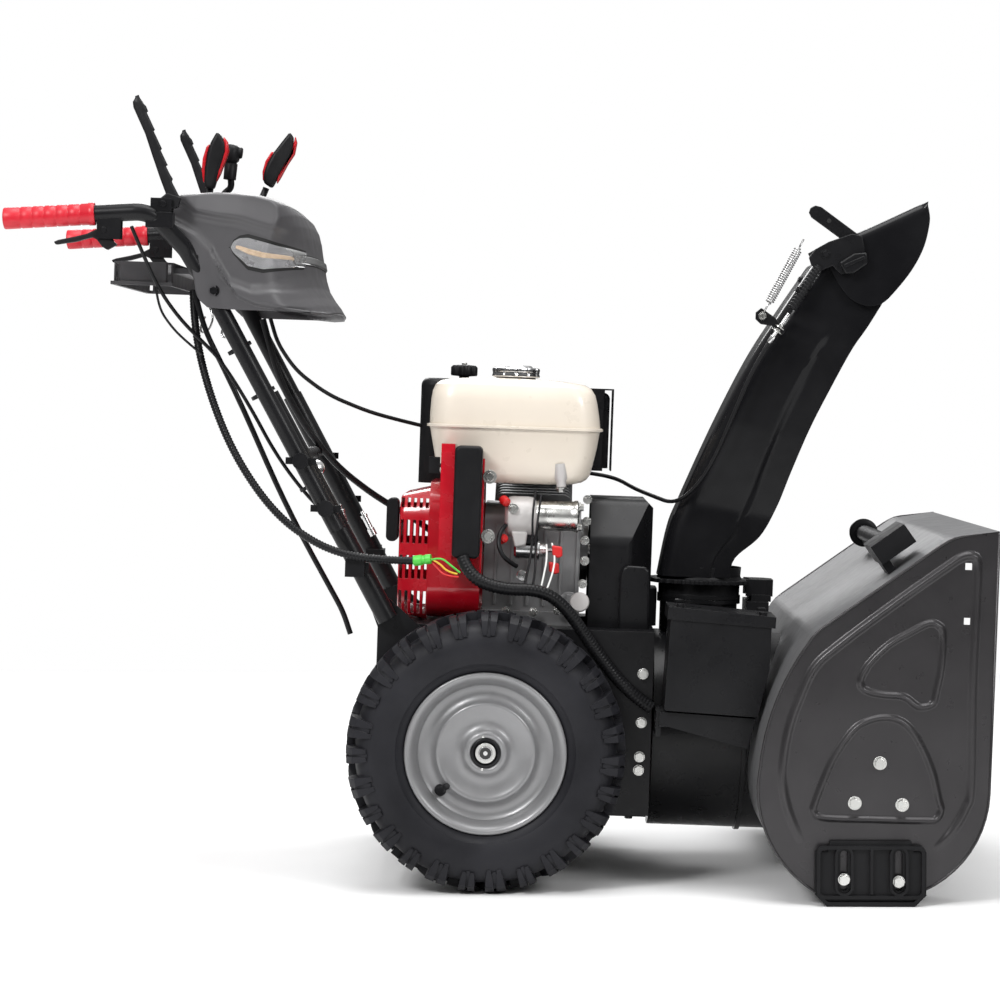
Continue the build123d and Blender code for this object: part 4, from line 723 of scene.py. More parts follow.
# ------------------------------------------------------------------ control panel
DASH_HALF = 258.0
DASH_TOP = [
    (-488, 972), (-482, 979), (-470, 983), (-440, 986), (-410, 988), (-378, 987), (-350, 985), (-328, 980), (-311, 972),
    (-297, 960), (-288, 945), (-283, 929), (-280, 912), (-277, 896), (-273, 875), (-267, 857), (-258, 843),
    (-249, 832), (-243, 822),
]
DASH_EDGE = [
    (-488, 968), (-485, 958), (-481, 948), (-477, 938), (-473, 928), (-471, 920), (-463, 909), (-453, 896),
    (-443, 882), (-432, 867), (-421, 852), (-412, 840), (-403, 828), (-392, 819), (-370, 817.5), (-345, 817),
    (-315, 817), (-280, 817), (-245, 817),
]
SHOULDER = [
    (-488, 972), (-458, 965), (-441, 950), (-412, 945), (-377, 941), (-344, 932), (-308, 925), (-262, 918), (-238, 915),
]
LOWER_RIDGE = [
    (-488, 950), (-440, 925), (-418, 905), (-405, 882), (-388, 856), (-359, 846), (-306, 849), (-262, 852), (-238, 850),
]
EAR_LINE = [
    (-488, 930), (-458, 922), (-436, 914), (-414, 897), (-403, 869), (-377, 838), (-351, 827), (-312, 823), (-238, 822),
]
ROUND_END = 0.55


def height_on(line, x):
    """The height of a line of (x, z) points at an x, held level past its ends."""
    for (x0, z0), (x1, z1) in zip(line, line[1:]):
        if x <= x1:
            return z0 + (z1 - z0) * max(0.0, min(1.0, (x - x0) / (x1 - x0)))
    return line[-1][1]


def swoop(x, z):
    """How far the panel's side stands in from its widest, in millimetres, as its moulded ridges sweep forward."""
    over_shoulder = z - height_on(SHOULDER, x)
    over_ridge = z - height_on(LOWER_RIDGE, x)
    above = smooth(-1, 9, over_shoulder)
    below = smooth(-1.5, 5.5, -over_ridge)
    ear = smooth(-1.5, 4.5, height_on(EAR_LINE, x) - z)
    lip = 2.6 * max(0.0, 1 - abs(over_shoulder + 2) / 6) + 3.0 * max(0.0, 1 - abs(over_ridge - 2) / 6)
    crown = 10.0 * above * smooth(0, 45, over_shoulder)
    return 9.5 * (1 - above) * (1 - 0.9 * below) - lip + 6.0 * ear * smooth(-425, -395, x) + crown


def dash_point(i, across_share):
    """A point on the panel: i runs along its profile, across_share from -1 at the right side to 1 at the left."""
    top, edge = between(DASH_TOP, i), between(DASH_EDGE, i)
    side_sign = -1 if across_share < 0 else 1
    share = abs(across_share)
    front_reach = smooth(7, 12, i)
    recede = 14 + 46 * front_reach
    inward = Vector((edge[0] - top[0], edge[1] - top[1]))
    length = max(1e-6, inward.length)
    if share <= ROUND_END:
        turn = share / ROUND_END * pi / 2
        reach = recede * (1 - max(0.0, cos(turn)) ** 0.62)
        y = DASH_HALF * (1 - (1 - sin(turn)) ** 1.15) ** 0.9
        reach = min(reach, length * 0.8)
        spot = Vector(top) + inward / length * reach
    else:
        t = (share - ROUND_END) / (1 - ROUND_END)
        start = min(recede, length * 0.8)
        spot = Vector(top) + inward / length * (start + (length - start) * t)
        y = DASH_HALF
    x, z = spot
    x -= 27.0 * (y / DASH_HALF) ** 2.2 * front_reach * smooth(0.0, 0.4, share)
    y -= swoop(x, z) * smooth(0.75, 1.0, y / DASH_HALF)
    return (x, side_sign * y, z)


def dash():
    """The moulded panel, 3 mm thick."""
    lanes = [-1 + 2 * k / 168 for k in range(169)]
    rows = [[dash_point(i / 6, lane) for lane in lanes] for i in range(6 * (len(DASH_TOP) - 1) + 1)]
    piece = net("dash_housing", rows, "machine", "dash_plastic", wrap_points=False, crease=50, hides=("dash_housing",))
    thick = piece.modifiers.new("wall", "SOLIDIFY")
    thick.thickness = 0.003
    thick.offset = -1
    return piece


panel = dash()


# ------------------------------------------------------------------ panel lamp and bolts
LAMP_TOP = [(-389, 906), (-386, 914), (-377, 919), (-365, 920), (-326, 911), (-290, 905), (-262, 901), (-240, 900)]
LAMP_FOOT = [(-389, 905), (-386, 899), (-379, 893), (-364, 880), (-342, 876), (-289, 883), (-262, 887), (-240, 888)]
LAMP_REAR_X = -389
LAMP_CORNER_X = -289
LAMP_CORNER_Y = 205
LAMP_FRONT_X = -240
SIDE_SHARE = 0.42
CORNER_SHARE = 0.62
PATCH_COLUMNS = 110
PATCH_ROWS = 14


def lamp(panel):
    """A wrap-round lamp over the panel's skin: reflector, warm strip and clear cover."""
    skin = bmesh.new()
    skin.from_mesh(panel.data)
    tree = BVHTree.FromBMesh(skin)
    skin.free()

    def on_skin(share, height, lift):
        """A point of the lamp: share runs along it from its rear end, height from 0 at its foot to 1."""
        if share < SIDE_SHARE:
            x = LAMP_REAR_X + share / SIDE_SHARE * (LAMP_CORNER_X - LAMP_REAR_X)
            aim, source = Vector((0, 1, 0)), (x, -400)
        elif share < CORNER_SHARE:
            turn = (share - SIDE_SHARE) / (CORNER_SHARE - SIDE_SHARE) * pi / 2
            aim = Vector((-sin(turn), cos(turn), 0))
            source = (LAMP_CORNER_X + 300 * sin(turn), -LAMP_CORNER_Y - 300 * cos(turn))
            x = LAMP_CORNER_X + 60 * sin(turn)
        else:
            aim = Vector((-1, 0, 0))
            source = (100, -LAMP_CORNER_Y * (1 - (share - CORNER_SHARE) / (1 - CORNER_SHARE)))
            x = LAMP_FRONT_X
        top, foot = height_on(LAMP_TOP, x), height_on(LAMP_FOOT, x)
        z = foot + (top - foot) * height
        spot, normal, _, _ = tree.ray_cast(at(*source, z), at(*aim) - at(0, 0, 0))
        facing = normal.y > 0.0 if share < CORNER_SHARE else normal.x < 0.0
        return spot + (-normal if facing else normal) * (lift / 1000)

    def patch(name, shares, heights, lift, rim_lift, finish_name, hides=()):
        """A skin over part of the lamp on both sides, standing up by lift and, at its edges, by rim_lift."""
        points = []
        for side_sign in (1, -1):
            for i in range(PATCH_COLUMNS + 1):
                for j in range(PATCH_ROWS + 1):
                    share = shares[0] + (shares[1] - shares[0]) * i / PATCH_COLUMNS
                    height = heights[0] + (heights[1] - heights[0]) * j / PATCH_ROWS
                    inside = min(j, PATCH_ROWS - j, i) / 2
                    spot = on_skin(share, height, rim_lift + (lift - rim_lift) * min(1.0, inside) ** 0.5)
                    points.append((spot.x, side_sign * spot.y, spot.z))
        size = len(points) // 2
        grid = lattice([range(PATCH_ROWS + 1)] * (PATCH_COLUMNS + 1), wrap_points=False)
        data = bpy.data.meshes.new(name)
        data.from_pydata(points, [], grid + [[first + size for first in reversed(face)] for face in grid])
        data.shade_smooth()
        data.set_sharp_from_angle(angle=radians(50))
        obj = bpy.data.objects.new(name, data)
        scene.collection.objects.link(obj)
        dressed(obj, "machine", finish_name, hides)

    # A near-black band just outside the lamp is painted shade for the gap round it.
    patch("lamp_gap_shade", (-0.012, 1.0), (-0.14, 1.14), 0.7, 0.2, "painted_gap_shade")
    patch("lamp_reflector", (0.0, 1.0), (0.0, 1.0), 0.9, 0.8, "reflector")
    patch("lamp_strip", (0.03, 1.0), (0.42, 0.62), 1.5, 1.3, "led_strip")
    patch("lamp_cover", (0.0, 1.0), (0.0, 1.0), 2.8, 1.2, "lens", ("headlight_lens",))


lamp(panel)
for hand in (-1, 1):
    for label, x, z in (("rear", -439, 889), ("low", -411, 843)):
        hex_head("panel_bolt_%s_%d" % (label, hand), (x, hand * 252, z), (0, hand, 0), 10, 5, "machine", "black_steel")


# ------------------------------------------------------------------ chute
CHUTE_REAR = [(245, 448), (258, 520), (274, 564), (319, 672), (368, 775), (412, 849), (456, 918)]
CHUTE_FRONT = [
    (350, 448), (357, 478), (393, 512), (416, 556), (436, 612), (460, 675), (486, 732), (516, 793), (540, 831),
    (575, 893),
]
CHUTE_HALF = [(440, 62.5), (560, 62.5), (680, 76), (830, 91), (1000, 93)]
CHUTE_ROWS = 64
CHUTE_CORNER = 24


def flowing(points, count):
    """Evenly numbered points on a smooth line through the given points."""
    ends = [points[0]] + list(points) + [points[-1]]
    spans = []
    for i in range(1, len(ends) - 2):
        for k in range(24):
            t = k / 24
            spans.append(tuple(
                0.5 * (2 * b + (c - a) * t + (2 * a - 5 * b + 4 * c - d) * t * t + (3 * b - a - 3 * c + d) * t ** 3)
                for a, b, c, d in zip(ends[i - 1], ends[i], ends[i + 1], ends[i + 2])
            ))
    spans.append(tuple(points[-1]))
    run = [0.0]
    for p, q in zip(spans, spans[1:]):
        run.append(run[-1] + hypot(q[0] - p[0], q[1] - p[1]))
    line, at_span = [], 0
    for k in range(count):
        goal = run[-1] * k / (count - 1)
        while at_span < len(run) - 2 and run[at_span + 1] < goal:
            at_span += 1
        share = (goal - run[at_span]) / max(1e-9, run[at_span + 1] - run[at_span])
        p, q = spans[at_span], spans[at_span + 1]
        line.append((p[0] + (q[0] - p[0]) * share, p[1] + (q[1] - p[1]) * share))
    return line


def chute_panel(along, share):
    """How far a cheek stands in from its raised panel, at a share of its depth and of the chute's length."""
    edge = 0.74 - 0.12 * share
    top = smooth(0.80, 0.86, share + 0.10 * max(0.0, along - 0.3))
    return 3.4 * (1 - (1 - smooth(edge - 0.03, edge + 0.012, along)) * (1 - top))


def chute():
    """An open channel from its rear line to its front line, with rounded corners and a raised panel on each cheek."""
    rows = []
    lines = zip(flowing(CHUTE_REAR, CHUTE_ROWS), flowing(CHUTE_FRONT, CHUTE_ROWS))
    for i, ((bx, bz), (fx, fz)) in enumerate(lines):
        share = i / (CHUTE_ROWS - 1)
        reach = hypot(fx - bx, fz - bz)
        ahead = ((fx - bx) / reach, (fz - bz) / reach)
        half = height_on(CHUTE_HALF, bz)

        def skin(depth):
            ring = []
            bend = max(2.0, CHUTE_CORNER - depth)
            for k in range(25):
                along = reach - (reach - CHUTE_CORNER) * k / 24
                ring.append((along, half - depth - chute_panel(along / reach, share)))
            for k in range(1, 10):
                turn = pi / 2 * k / 9
                side = half - depth - chute_panel(0.0, share) - bend + bend * cos(turn)
                ring.append((CHUTE_CORNER - bend * sin(turn), side))
            ring += [(depth - 1.2, half * 0.35), (depth - 1.6, 0.0)]
            return ring + [(a, -y) for a, y in reversed(ring[:-1])]

        rows.append([(bx + ahead[0] * a, y, bz + ahead[1] * a) for a, y in skin(0.0) + skin(3.0)[::-1]])
    net("chute", rows, "chute", "chute_plastic", crease=34, hides=("chute",), ends=True)


chute()
turned("chute_collar", (CHUTE_X, 0, 414.4), (0, 0, 1), (
    (0, 58.6), (0, 62.5), (6, 62.5), (6.5, 60.8), (30, 61.5), (48, 62.6), (48, 59.5), (2, 58.4), (0, 58.6),
), "chute", "black_plastic", 96, crease=40)

HOOD_TOP = [(461, 942), (521, 967), (570, 991), (602, 1007), (619, 1015)]
HOOD_FOOT = [
    (466, 934), (483, 904), (499, 880), (515, 865), (537, 858), (557, 863), (575, 881), (599, 914), (615, 948),
    (622, 984), (620, 1003), (618, 1009),
]


def hood():
    """The deflector: a straight crown with two rounded cheeks."""
    top, foot = flowing(HOOD_TOP, 60), flowing(HOOD_FOOT, 60)
    rows = []
    for (tx, tz), (fx, fz) in zip(top, foot):
        reach = max(0.8, hypot(fx - tx, fz - tz))
        ahead = ((fx - tx) / reach, (fz - tz) / reach)
        corner = min(12.0, reach * 0.5)

        def skin(depth):
            bend = max(0.4, corner - depth)
            ring = [(reach - (reach - corner) * k / 12, 100 - depth) for k in range(13)]
            for k in range(1, 8):
                turn = pi / 2 * k / 7
                ring.append((corner - bend * sin(turn), 100 - depth - bend + bend * cos(turn)))
            ring += [(min(depth, corner), 40.0), (min(depth, corner), 0.0)]
            return ring + [(a, -y) for a, y in reversed(ring[:-1])]

        rows.append([(tx + ahead[0] * a, y, tz + ahead[1] * a) for a, y in skin(0.0) + skin(2.8)[::-1]])
    net("deflector", rows, "deflector", "chute_plastic", crease=34, hides=("deflector",), ends=True)
    block("deflector_arm", [
        (520, 944), (524, 953), (520, 961), (462, 1001), (453, 1003), (446, 999), (444, 992), (448, 985), (504, 947),
        (512, 943),
    ], (-104, -100), "deflector", "black_steel", 1.2)
    # The slot is a flat near-black disc on the arm, its inside painted as shade.
    turned("deflector_arm_slot", (474, -104.4, 981), (0, 1, 0), ((0, 0.1), (0, 3.4), (0.6, 3.4)), "deflector",
           "painted_gap_shade", 16)
    for hand in (-1, 1):
        hex_head("deflector_pivot_%d" % hand, (513, hand * 103.6, 952), (0, hand, 0), 10, 4.5, "deflector")


hood()

# tilt control: bracket, spring, boot and adjuster on the chute's right cheek
block("tilt_bracket", [(446, 926), (454, 938), (474, 950), (508, 963), (523, 960), (527, 942), (528, 923), (510, 906),
                       (494, 903), (481, 915), (466, 908), (450, 914)], (-110, -106.5), "chute", "black_steel", 1.2)
block("tilt_bracket_lug", [(490, 920), (512, 934), (530, 936), (532, 920), (512, 905), (500, 903)], (-118, -107),
      "chute", "black_steel", 2.4)
block("tilt_bracket_rib", [(496, 917), (526, 931), (528, 927), (498, 912)], (-120, -107), "chute", "black_steel", 1.0)
hex_head("tilt_bracket_bolt", (470, -110, 932), (0, -1, 0), 8, 3, "chute", "black_steel")
for label, x, z in (("one", 436, 893), ("two", 433, 878)):
    hex_head("tilt_bracket_screw_" + label, (x, -106, z), (-0.8, -0.2, 0.3), 7, 3, "chute", "black_steel")


def helix(name, start, end, radius, wire, turns, body, finish_name, hides=()):
    """A close-wound spring between two points, with a straight hook reaching past each end."""
    axis = Vector(end) - Vector(start)
    direction, side, up = across(axis)
    route = [Vector(start) - direction * 16, Vector(start) - direction * 4]
    steps = 14
    for k in range(turns * steps + 1):
        angle = 2 * pi * k / steps
        swell = radius if 2 < k < turns * steps - 2 else radius * 0.5
        route.append(Vector(start) + axis * (k / (turns * steps)) + (side * cos(angle) + up * sin(angle)) * swell)
    route += [Vector(end) + direction * 4, Vector(end) + direction * 16]
    line = [at(*p) for p in route]
    return tube_mesh(name, line, wire, body, finish_name, hides, steps=8)


helix("deflector_spring", (430, -112, 938), (390, -112, 858), 5.4, 1.35, 26, "chute", "bright_steel",
      ("deflector_spring",))
block("spring_anchor", [(379, 850), (371, 843), (371, 833), (379, 826), (396, 824), (412, 812), (416, 818), (400, 836)],
      (-111, -107.6), "chute", "black_steel", 1.0)
hex_head("spring_anchor_screw", (381, -111, 838), (0, -1, 0), 7, 3, "chute")
DEFLECTOR_ROUTE = [
    (396, -107, 806), (372, -105, 765), (344, -98, 690), (318, -88, 620), (290, -76, 576), (262, -60, 556),
    (232, -30, 566), (205, 20, 575), (180, 60, 588), (145, 66, 594), (110, 68, 597),
]
sheath = tube_mesh("deflector_cable", line_through(DEFLECTOR_ROUTE, 4), 3.0, None, "cable_black", ("deflector_cable",))
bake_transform(sheath)
turned("adjuster_rod", (392, -107, 799), (30, 0, 47), ((0, 2.6), (2, 4.0), (12, 4.0), (12, 2.6), (52, 2.6), (52, 0.1)),
       "chute", "bright_steel", 20, crease=40)
for label, along in (("one", 20), ("two", 27)):
    share = along / 56
    hex_head("adjuster_nut_" + label, (392 + 30 * share, -107, 799 + 47 * share), (30, 0, 47), 10, 3.4, "chute")
ribbed("adjuster_boot", [(424, -107, 850), (444, -107, 884), (462, -107, 915)], 7.4, "chute", 5.2, 2.6, ("chute",),
       "black_plastic")

# ------------------------------------------------------------------ looms, cables and their fittings
ribbed("wiring_loom", [
    (-452, -150, 845), (-447, -170, 790), (-420, -200, 700), (-378, -226, 610), (-318, -240, 530), (-258, -244, 488),
    (-205, -240, 470), (-150, -228, 466), (-112, -222, 466),
], 5.8, "machine", 4.6, 0.9, ("wiring_loom",))
ribbed("engine_loom", [
    (-44, -226, 474), (-34, -236, 448), (10, -238, 430), (74, -232, 432), (112, -216, 402), (150, -196, 345),
    (205, -186, 280), (238, -186, 262),
], 9.4, "machine", 5.0, 1.0)
turned("loom_plug", (-113, -222, 466), (24, -4, 4), (
    (-2, 5.6), (0, 7.6), (11, 7.6), (12, 6.4), (16, 6.4), (17, 7.2), (25, 7.0), (25, 0.1),
), "machine", "green_plug", 20, crease=35)
for name, radius, finish_name, route in (
    ("wire_yellow", 1.4, "yellow_wire", [(-90, -226, 470), (-78, -232, 466), (-64, -236, 452), (-50, -236, 450)]),
    ("wire_red", 1.4, "red_terminal", [(-90, -224, 468), (-80, -230, 458), (-68, -238, 446), (-48, -238, 446)]),
    ("wire_green", 1.4, "green_plug", [(-90, -228, 468), (-76, -232, 474), (-60, -234, 462), (-46, -236, 452)]),
    ("wire_white", 1.4, "white_wire", [(76, -178, 494), (78, -196, 478), (74, -212, 452), (70, -224, 432)]),
    ("wire_white_2", 1.4, "white_wire", [(84, -178, 496), (90, -196, 480), (86, -212, 450), (78, -224, 430)]),
    ("wire_starter", 3.4, "cable_black", [
        (16, -176, 520), (8, -190, 512), (6, -200, 492), (16, -206, 472), (34, -190, 462),
    ]),
    ("wire_coil", 1.7, "cable_black", [
        (58, -182, 572), (54, -196, 540), (56, -200, 500), (52, -214, 462), (46, -228, 436),
    ]),
    ("wire_coil_2", 1.7, "cable_black", [
        (66, -180, 566), (62, -196, 530), (60, -200, 492), (62, -214, 456), (58, -228, 434),
    ]),
):
    cable(name, route, radius, "machine", finish_name)
for label, x, z in (("upper", 92, 486), ("lower", 88, 462)):
    block("terminal_boot_" + label, [(x - 8, z + 8), (x + 7, z + 6), (x + 8, z - 7), (x + 2, z - 10), (x - 7, z - 6)],
          (-196, -178), "machine", "red_terminal", 2.2)
for label, x, z, rise in (("upper", 10, 558, -6), ("lower", 8, 498, 4)):
    turned("starter_boot_" + label, (x, -172, z), (8, -10, rise), ((0, 6), (2, 7), (12, 6.4), (14, 4), (14, 0.1)),
           "machine", "red_terminal", 18, crease=40)

# ------------------------------------------------------------------ starter motor
turned("starter_can", (62, -150, 535), (1, 0, 0), (
    (-4, 20), (0, 21.6), (46, 22.0), (52, 22.2), (54, 23.4), (58, 23.4), (59, 21), (61, 12), (61, 0.1),
), "machine", "zinc_steel", 72, crease=32, hides=("starter_motor",))
turned("starter_gearbox", (14, -150, 532), (1, 0, 0), (
    (0, 0.1), (0, 17), (2, 24), (5, 28.5), (10, 30), (32, 30.4), (40, 29.5), (44, 27), (46, 22), (48, 20.5),
), "machine", "gear_grey", 72, crease=32)
block("starter_foot", [(24, 512), (48, 512), (46, 492), (30, 488)], (-176, -140), "machine", "gear_grey", 3.0)
turned("starter_solenoid", (32, -152, 485), (1, 0, 0), (
    (-3, 0.1), (-3, 11), (0, 14.4), (30, 14.6), (31, 16), (34, 16), (35, 12), (40, 10), (46, 9), (46, 3.2), (54, 3.2),
    (54, 0.1),
), "machine", "bright_steel", 56, crease=32)
block("starter_clamp", [(34, 506), (64, 506), (62, 494), (36, 494)], (-170, -150), "machine", "black_steel", 1.6)
for label, seat, out in (
    ("a", (122, -160, 549), (1, 0, 0)), ("b", (120, -160, 520), (1, 0, 0)), ("c", (26, -181, 545), (0, -1, 0)),
):
    hex_head("starter_bolt_" + label, seat, out, 9, 5, "machine")

# tank boss, oil filler, drain plug and case bolts
turned("tank_boss", (93, -158, 598), (0.1, 0, -1), (
    (-14, 9), (0, 9.6), (8, 9.4), (12, 7.5), (14, 7.2), (20, 7), (21, 0.1),
), "machine", "gear_grey", 30, crease=35)
hex_head("tank_boss_bolt", (94, -158, 577), (0.1, 0, -1), 10, 5, "machine")
turned("oil_cap", (126, -128, 408), (0.1, -1, 0.15), (
    (0, 13), (6, 14.5), (14, 14.5), (16, 13), (17, 6), (17, 0.1),
), "machine", "gear_grey", 40, crease=35)
turned("drain_plug", (42, -142, 446), (0, -1, 0), ((0, 8.4), (3, 8.4), (4, 7.4), (4.6, 0.1)), "machine",
       "bright_steel", 30, crease=35)
CASE_BOLTS = [(134, 560), (134, 528), (132, 500), (133, 470), (131, 436), (96, 396), (60, 392), (20, 392)]
for number, (x, z) in enumerate(CASE_BOLTS):
    hex_head("case_bolt_%d" % number, (x, -128, z), (0, -1, 0), 8, 4, "machine")
for number, z in enumerate((590, 504)):
    hex_head("bracket_bolt_%d" % number, (-9, -197, z), (0, -1, 0), 12, 6, "machine")

# ------------------------------------------------------------------ belt cover and battery box trim
block("belt_cover_bulge", [
    (188, 352), (185, 400), (186, 450), (190, 461), (196, 465), (222, 464), (229, 458), (232, 352),
], (-123, -108), "machine", "black_steel", 5.0, segments=5)
for number, (x, z) in enumerate(((270, 419.5), (389, 411.5))):
    turned("lid_knob_%d" % number, (x, -200, z), (0, 0, 1), ((0, 7), (3, 7), (4, 5.4), (4.6, 0.1)), "machine",
           "black_plastic", 20, crease=35)

# ------------------------------------------------------------------ handlebar hardware
for label, x, z in (("upper", -280, 604), ("lower", -242, 537)):
    turned("tube_bolt_" + label, (x, -222, z), (0, -1, 0), ((0, 8.6), (1.6, 8.6), (3.6, 7.4), (5.4, 4.4), (6.2, 0.1)),
           "machine", "black_steel", 28, crease=30)
turned("wing_knob", (-267, -150, 590), (0.3, -1, 0.2), (
    (0, 5), (8, 11), (14, 12.6), (18, 12), (20, 9), (20.6, 0.1),
), "machine", "bright_steel", 28, crease=35)
for label, foot, lean, sleeve, top in (
    ("one", (-212, -166, 498), -0.35, 34, 46), ("two", (-178, -120, 496), -0.55, 30, 40),
):
    turned("handle_adjuster_" + label, foot, (lean, 0, 1), (
        (0, 3.4), (0, 5.4), (12, 5.4), (12, 4.2), (sleeve, 4.2), (sleeve, 5.2), (sleeve + 4, 5.2), (sleeve + 4, 2.4),
        (top, 2.4), (top, 0.1),
    ), "machine", "bright_steel", 20, crease=35)
cable("clutch_loop_right", [
    (-530, -262, 930), (-510, -240, 880), (-490, -220, 838), (-462, -204, 800), (-430, -198, 770), (-404, -194, 745),
    (-360, -190, 680), (-320, -186, 610), (-272, -180, 550), (-228, -172, 512), (-214, -168, 504),
], 2.7, "machine", "cable_black")
cable("panel_lead", [
    (-497, -225, 846), (-493, -228, 818), (-473, -228, 790), (-452, -222, 770), (-430, -206, 752),
], 1.8, "machine", "cable_black")
for label, x, y, z in (("tie_a", -375, -203, 761), ("tie_b", -339, -203, 697), ("tie_c", -265, -200, 567)):
    turned(label, (x, y, z), (-0.5, 0, 0.87), ((0, 17.2), (0, 18.6), (5, 18.6), (5, 17.2), (0, 17.2)), "machine",
           "black_plastic", 36, crease=35)
for label, x, y, z in (("chrome_clip_one", -398, -150, 806), ("chrome_clip_two", -430, -140, 812)):
    cable(label, [
        (x, y, z + 12), (x + 9, y - 6, z), (x + 4, y - 8, z - 22), (x - 8, y - 4, z - 30), (x - 12, y, z - 18),
        (x - 4, y - 4, z - 4),
    ], 1.5, "machine", "bright_steel")


# ------------------------------------------------------------------ housing cheeks
CHEEK_Y = 381.2


def bead(name, route, closed, hand, width, height, body, finish_name):
    """A pressed bead along a route in side view, raised outward from a flat sheet."""
    ring = list(route) + [route[0], route[1], route[2]] if closed else list(route)
    line = flowing(ring, 40 * (len(ring) // 3))
    rows = []
    for i, (x, z) in enumerate(line):
        a, b = line[max(0, i - 1)], line[min(len(line) - 1, i + 1)]
        run = max(1e-6, hypot(b[0] - a[0], b[1] - a[1]))
        aside = (-(b[1] - a[1]) / run, (b[0] - a[0]) / run)
        fade = 1.0 if closed else min(1.0, i / 12, (len(line) - 1 - i) / 12)
        row = []
        for k in range(17):
            reach = width * (k / 8 - 1) / 2
            rise = height * fade * (0.5 - 0.5 * cos(pi * k / 8)) - 0.15
            row.append((x + aside[0] * reach, hand * (CHEEK_Y + rise), z + aside[1] * reach))
        rows.append(row)
    net(name, rows, body, finish_name, wrap_points=False, crease=60)


def arc(start, way, end, steps=12):
    """Points on the circle through three points, the last left off."""
    (ax, az), (bx, bz), (cx, cz) = start, way, end
    d = 2 * (ax * (bz - cz) + bx * (cz - az) + cx * (az - bz))
    a2, b2, c2 = ax * ax + az * az, bx * bx + bz * bz, cx * cx + cz * cz
    mx = (a2 * (bz - cz) + b2 * (cz - az) + c2 * (az - bz)) / d
    mz = (a2 * (cx - bx) + b2 * (ax - cx) + c2 * (bx - ax)) / d
    first, last = atan2(az - mz, ax - mx), atan2(cz - mz, cx - mx)
    middle = atan2(bz - mz, bx - mx)
    turn = (last - first + pi) % (2 * pi) - pi
    if abs((middle - first + pi) % (2 * pi) - pi) > abs(turn):
        turn -= 2 * pi * (1 if turn > 0 else -1)
    r = hypot(ax - mx, az - mz)
    return [(mx + r * cos(first + turn * k / steps), mz + r * sin(first + turn * k / steps)) for k in range(steps)]


CHEEK = (
    arc((584, 30), (657, 71), (702, 179))
    + [(702, 179), (702, 544), (650, 534.6), (640, 532), (632, 528), (622, 521.5), (464, 402.8), (454, 394), (447, 385)]
    + arc((446, 383), (405, 305), (383, 202)) + arc((383, 202), (413, 82), (474, 30), 16) + [(474, 30)]
)


def sheet_plate(name, outline, openings, y, thick, body, finish_name, hides):
    """A flat sheet with openings, thickened inward from y."""
    work = bmesh.new()
    edges = []
    for loop in [outline] + openings:
        ring = [work.verts.new(at(x, y, z)) for x, z in loop]
        edges += [work.edges.new((ring[k], ring[(k + 1) % len(ring)])) for k in range(len(ring))]
    bmesh.ops.triangle_fill(work, use_beauty=True, use_dissolve=False, edges=edges)
    data = bpy.data.meshes.new(name)
    work.to_mesh(data)
    work.free()
    obj = bpy.data.objects.new(name, data)
    scene.collection.objects.link(obj)
    solid = obj.modifiers.new("wall", "SOLIDIFY")
    solid.thickness = thick / 1000
    solid.offset = 0
    return dressed(obj, body, finish_name, hides)


def square(x, z, half):
    """A square's corners in side view."""
    return [(x - half, z - half), (x + half, z - half), (x + half, z + half), (x - half, z + half)]


CHEEK_EDGE = [
    (444, 101), (425, 144), (416, 180), (415, 211), (421, 258), (434, 302), (453, 346), (485, 378), (558, 437),
    (630, 492), (650, 506), (664, 509), (673, 500), (674, 450), (673, 338), (676, 190), (670, 158), (652, 124),
    (629, 98),
]
CHEEK_PANEL = [
    (520, 321), (518, 333), (527, 352), (554, 381), (584, 400), (608, 413), (622, 411), (629, 399), (629, 355),
    (623, 318), (620, 304), (611, 298), (597, 298), (578, 310), (550, 312), (531, 315),
]
CHEEK_ARCH = [
    (460, 145), (461, 157), (476, 201), (491, 233), (514, 265), (539, 278), (563, 280), (585, 270), (605, 243),
    (622, 206), (632, 169), (636, 154), (629, 141), (612, 139), (543, 138), (475, 138),
]
for hand in (-1, 1):
    sheet_plate("cheek_%d" % hand, CHEEK, [square(661, 494, 4.8), square(662, 418, 4.8)], hand * 379.8, 2.6, "machine",
                "side_plate", ("side_plates",))
    for label, route, closed, width, height in (
        ("edge", CHEEK_EDGE, False, 16, 5.0), ("panel", CHEEK_PANEL, True, 13, 4.4),
        ("arch", CHEEK_ARCH, True, 13, 4.4),
    ):
        bead("cheek_%s_%d" % (label, hand), route, closed, hand, width, height, "machine", "side_plate")
for hand in (-1, 1):
    rim_line = [at(x, hand * 381.0, z) for x, z in CHEEK] + [at(CHEEK[0][0], hand * 381.0, CHEEK[0][1])]
    tube_mesh("cheek_rim_%d" % hand, rim_line, 1.9, "machine", "side_plate", steps=10)
turned("tool_knob", (562.8, 92, 517), (0, 1, 0), (
    (0, 12.4), (0, 19), (2, 21.6), (9.5, 21.6), (11, 19), (12, 14), (16, 14), (17, 18.4), (21, 18.4), (22, 13.6),
    (26.5, 13.4), (27.5, 16.6), (58, 17), (60.8, 15), (61.4, 10), (61.4, 0.1),
), "machine", "black_plastic", 40, crease=40)
turned("chute_ring", (CHUTE_X, 0, 437), (0, 0, 1), ((0, 62), (0, 76), (1, 78), (6, 78), (7, 76), (7, 64), (11, 62.4)),
       "chute", "black_plastic", 96, crease=35)
for k in range(36):
    turn = 2 * pi * k / 36
    turned("chute_ring_tooth_%d" % k, (CHUTE_X + 76 * cos(turn), 76 * sin(turn), 437.5), (0, 0, 1),
           ((0, 4.2), (0.5, 4.6), (5.5, 4.6), (6, 4.2)), "chute", "black_plastic", 12, caps=True, crease=35)


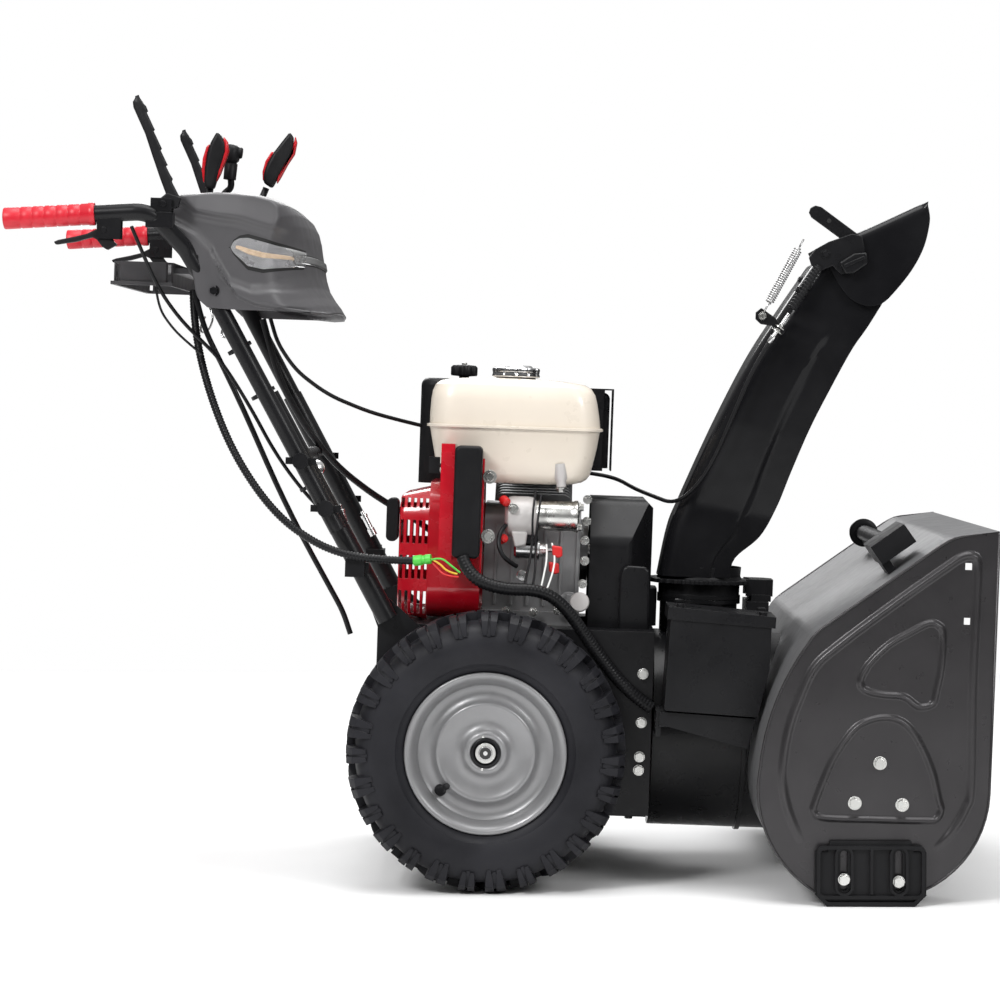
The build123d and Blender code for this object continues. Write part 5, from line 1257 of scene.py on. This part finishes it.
# ------------------------------------------------------------------ floor, light and camera
def area(name, place, target, size, power):
    light = bpy.data.lights.new(name, "AREA")
    light.shape = "DISK"
    light.size = size
    light.energy = power
    obj = bpy.data.objects.new(name, light)
    obj.location = place
    obj.rotation_euler = (Vector(target) - Vector(place)).to_track_quat("-Z", "Y").to_euler()
    scene.collection.objects.link(obj)


def studio():
    work = bmesh.new()
    bmesh.ops.create_grid(work, x_segments=8, y_segments=8, size=3.3)
    data = bpy.data.meshes.new("floor")
    work.to_mesh(data)
    work.free()
    floor = bpy.data.objects.new("floor", data)
    floor.location = (0, 0, -0.0005)
    scene.collection.objects.link(floor)
    paper = Shader("floor_paper", 0.75)
    paper.colour(paper.mix(paper.ranged(paper.noise(3), 0, 1), (0.90, 0.90, 0.90), (0.93, 0.93, 0.93)))
    data.materials.append(paper.material)
    # White behind the machine, and for everything it lights a sky that fades to dusk at the horizon.
    scene.world = bpy.data.worlds.new("studio")
    scene.world.use_nodes = True
    tree = scene.world.node_tree
    sky = tree.nodes["Background"]
    socket(sky, "Color", (1.0, 1.0, 1.0, 1.0))
    way = tree.nodes.new("ShaderNodeTexCoord")
    split = tree.nodes.new("ShaderNodeSeparateXYZ")
    fade = tree.nodes.new("ShaderNodeMapRange")
    for name, number in (("From Min", 0.0), ("From Max", 0.8), ("To Min", 0.05), ("To Max", 0.75)):
        socket(fade, name, number)
    seen = tree.nodes.new("ShaderNodeLightPath")
    either = tree.nodes.new("ShaderNodeMix")
    socket(either, "B", 1.0)
    tree.links.new(way.outputs["Generated"], split.inputs["Vector"])
    tree.links.new(split.outputs["Z"], fade.inputs["Value"])
    tree.links.new(seen.outputs["Is Camera Ray"], either.inputs["Factor"])
    tree.links.new(fade.outputs["Result"], either.inputs["A"])
    tree.links.new(either.outputs["Result"], sky.inputs["Strength"])
    area("key", (-2.0, -3.2, 3.2), (0, 0, 0.5), 1.3, 105)
    area("fill", (2.6, -2.8, 2.4), (0, 0, 0.5), 1.4, 48)
    area("top", (0.3, -0.2, 3.6), (0, 0, 0.5), 2.6, 84)
    area("back", (-0.6, 3.4, 2.6), (0, 0, 0.6), 1.8, 50)
    scene.view_settings.view_transform = "Standard"


def camera():
    data = bpy.data.cameras.new("camera")
    data.lens = 112.0
    data.sensor_width = 36.0
    obj = bpy.data.objects.new("camera", data)
    obj.location = (0.0778, -4.690, 0.701)
    obj.rotation_euler = (radians(88.16), 0, radians(0.92))
    scene.collection.objects.link(obj)
    scene.camera = obj


studio()
camera()
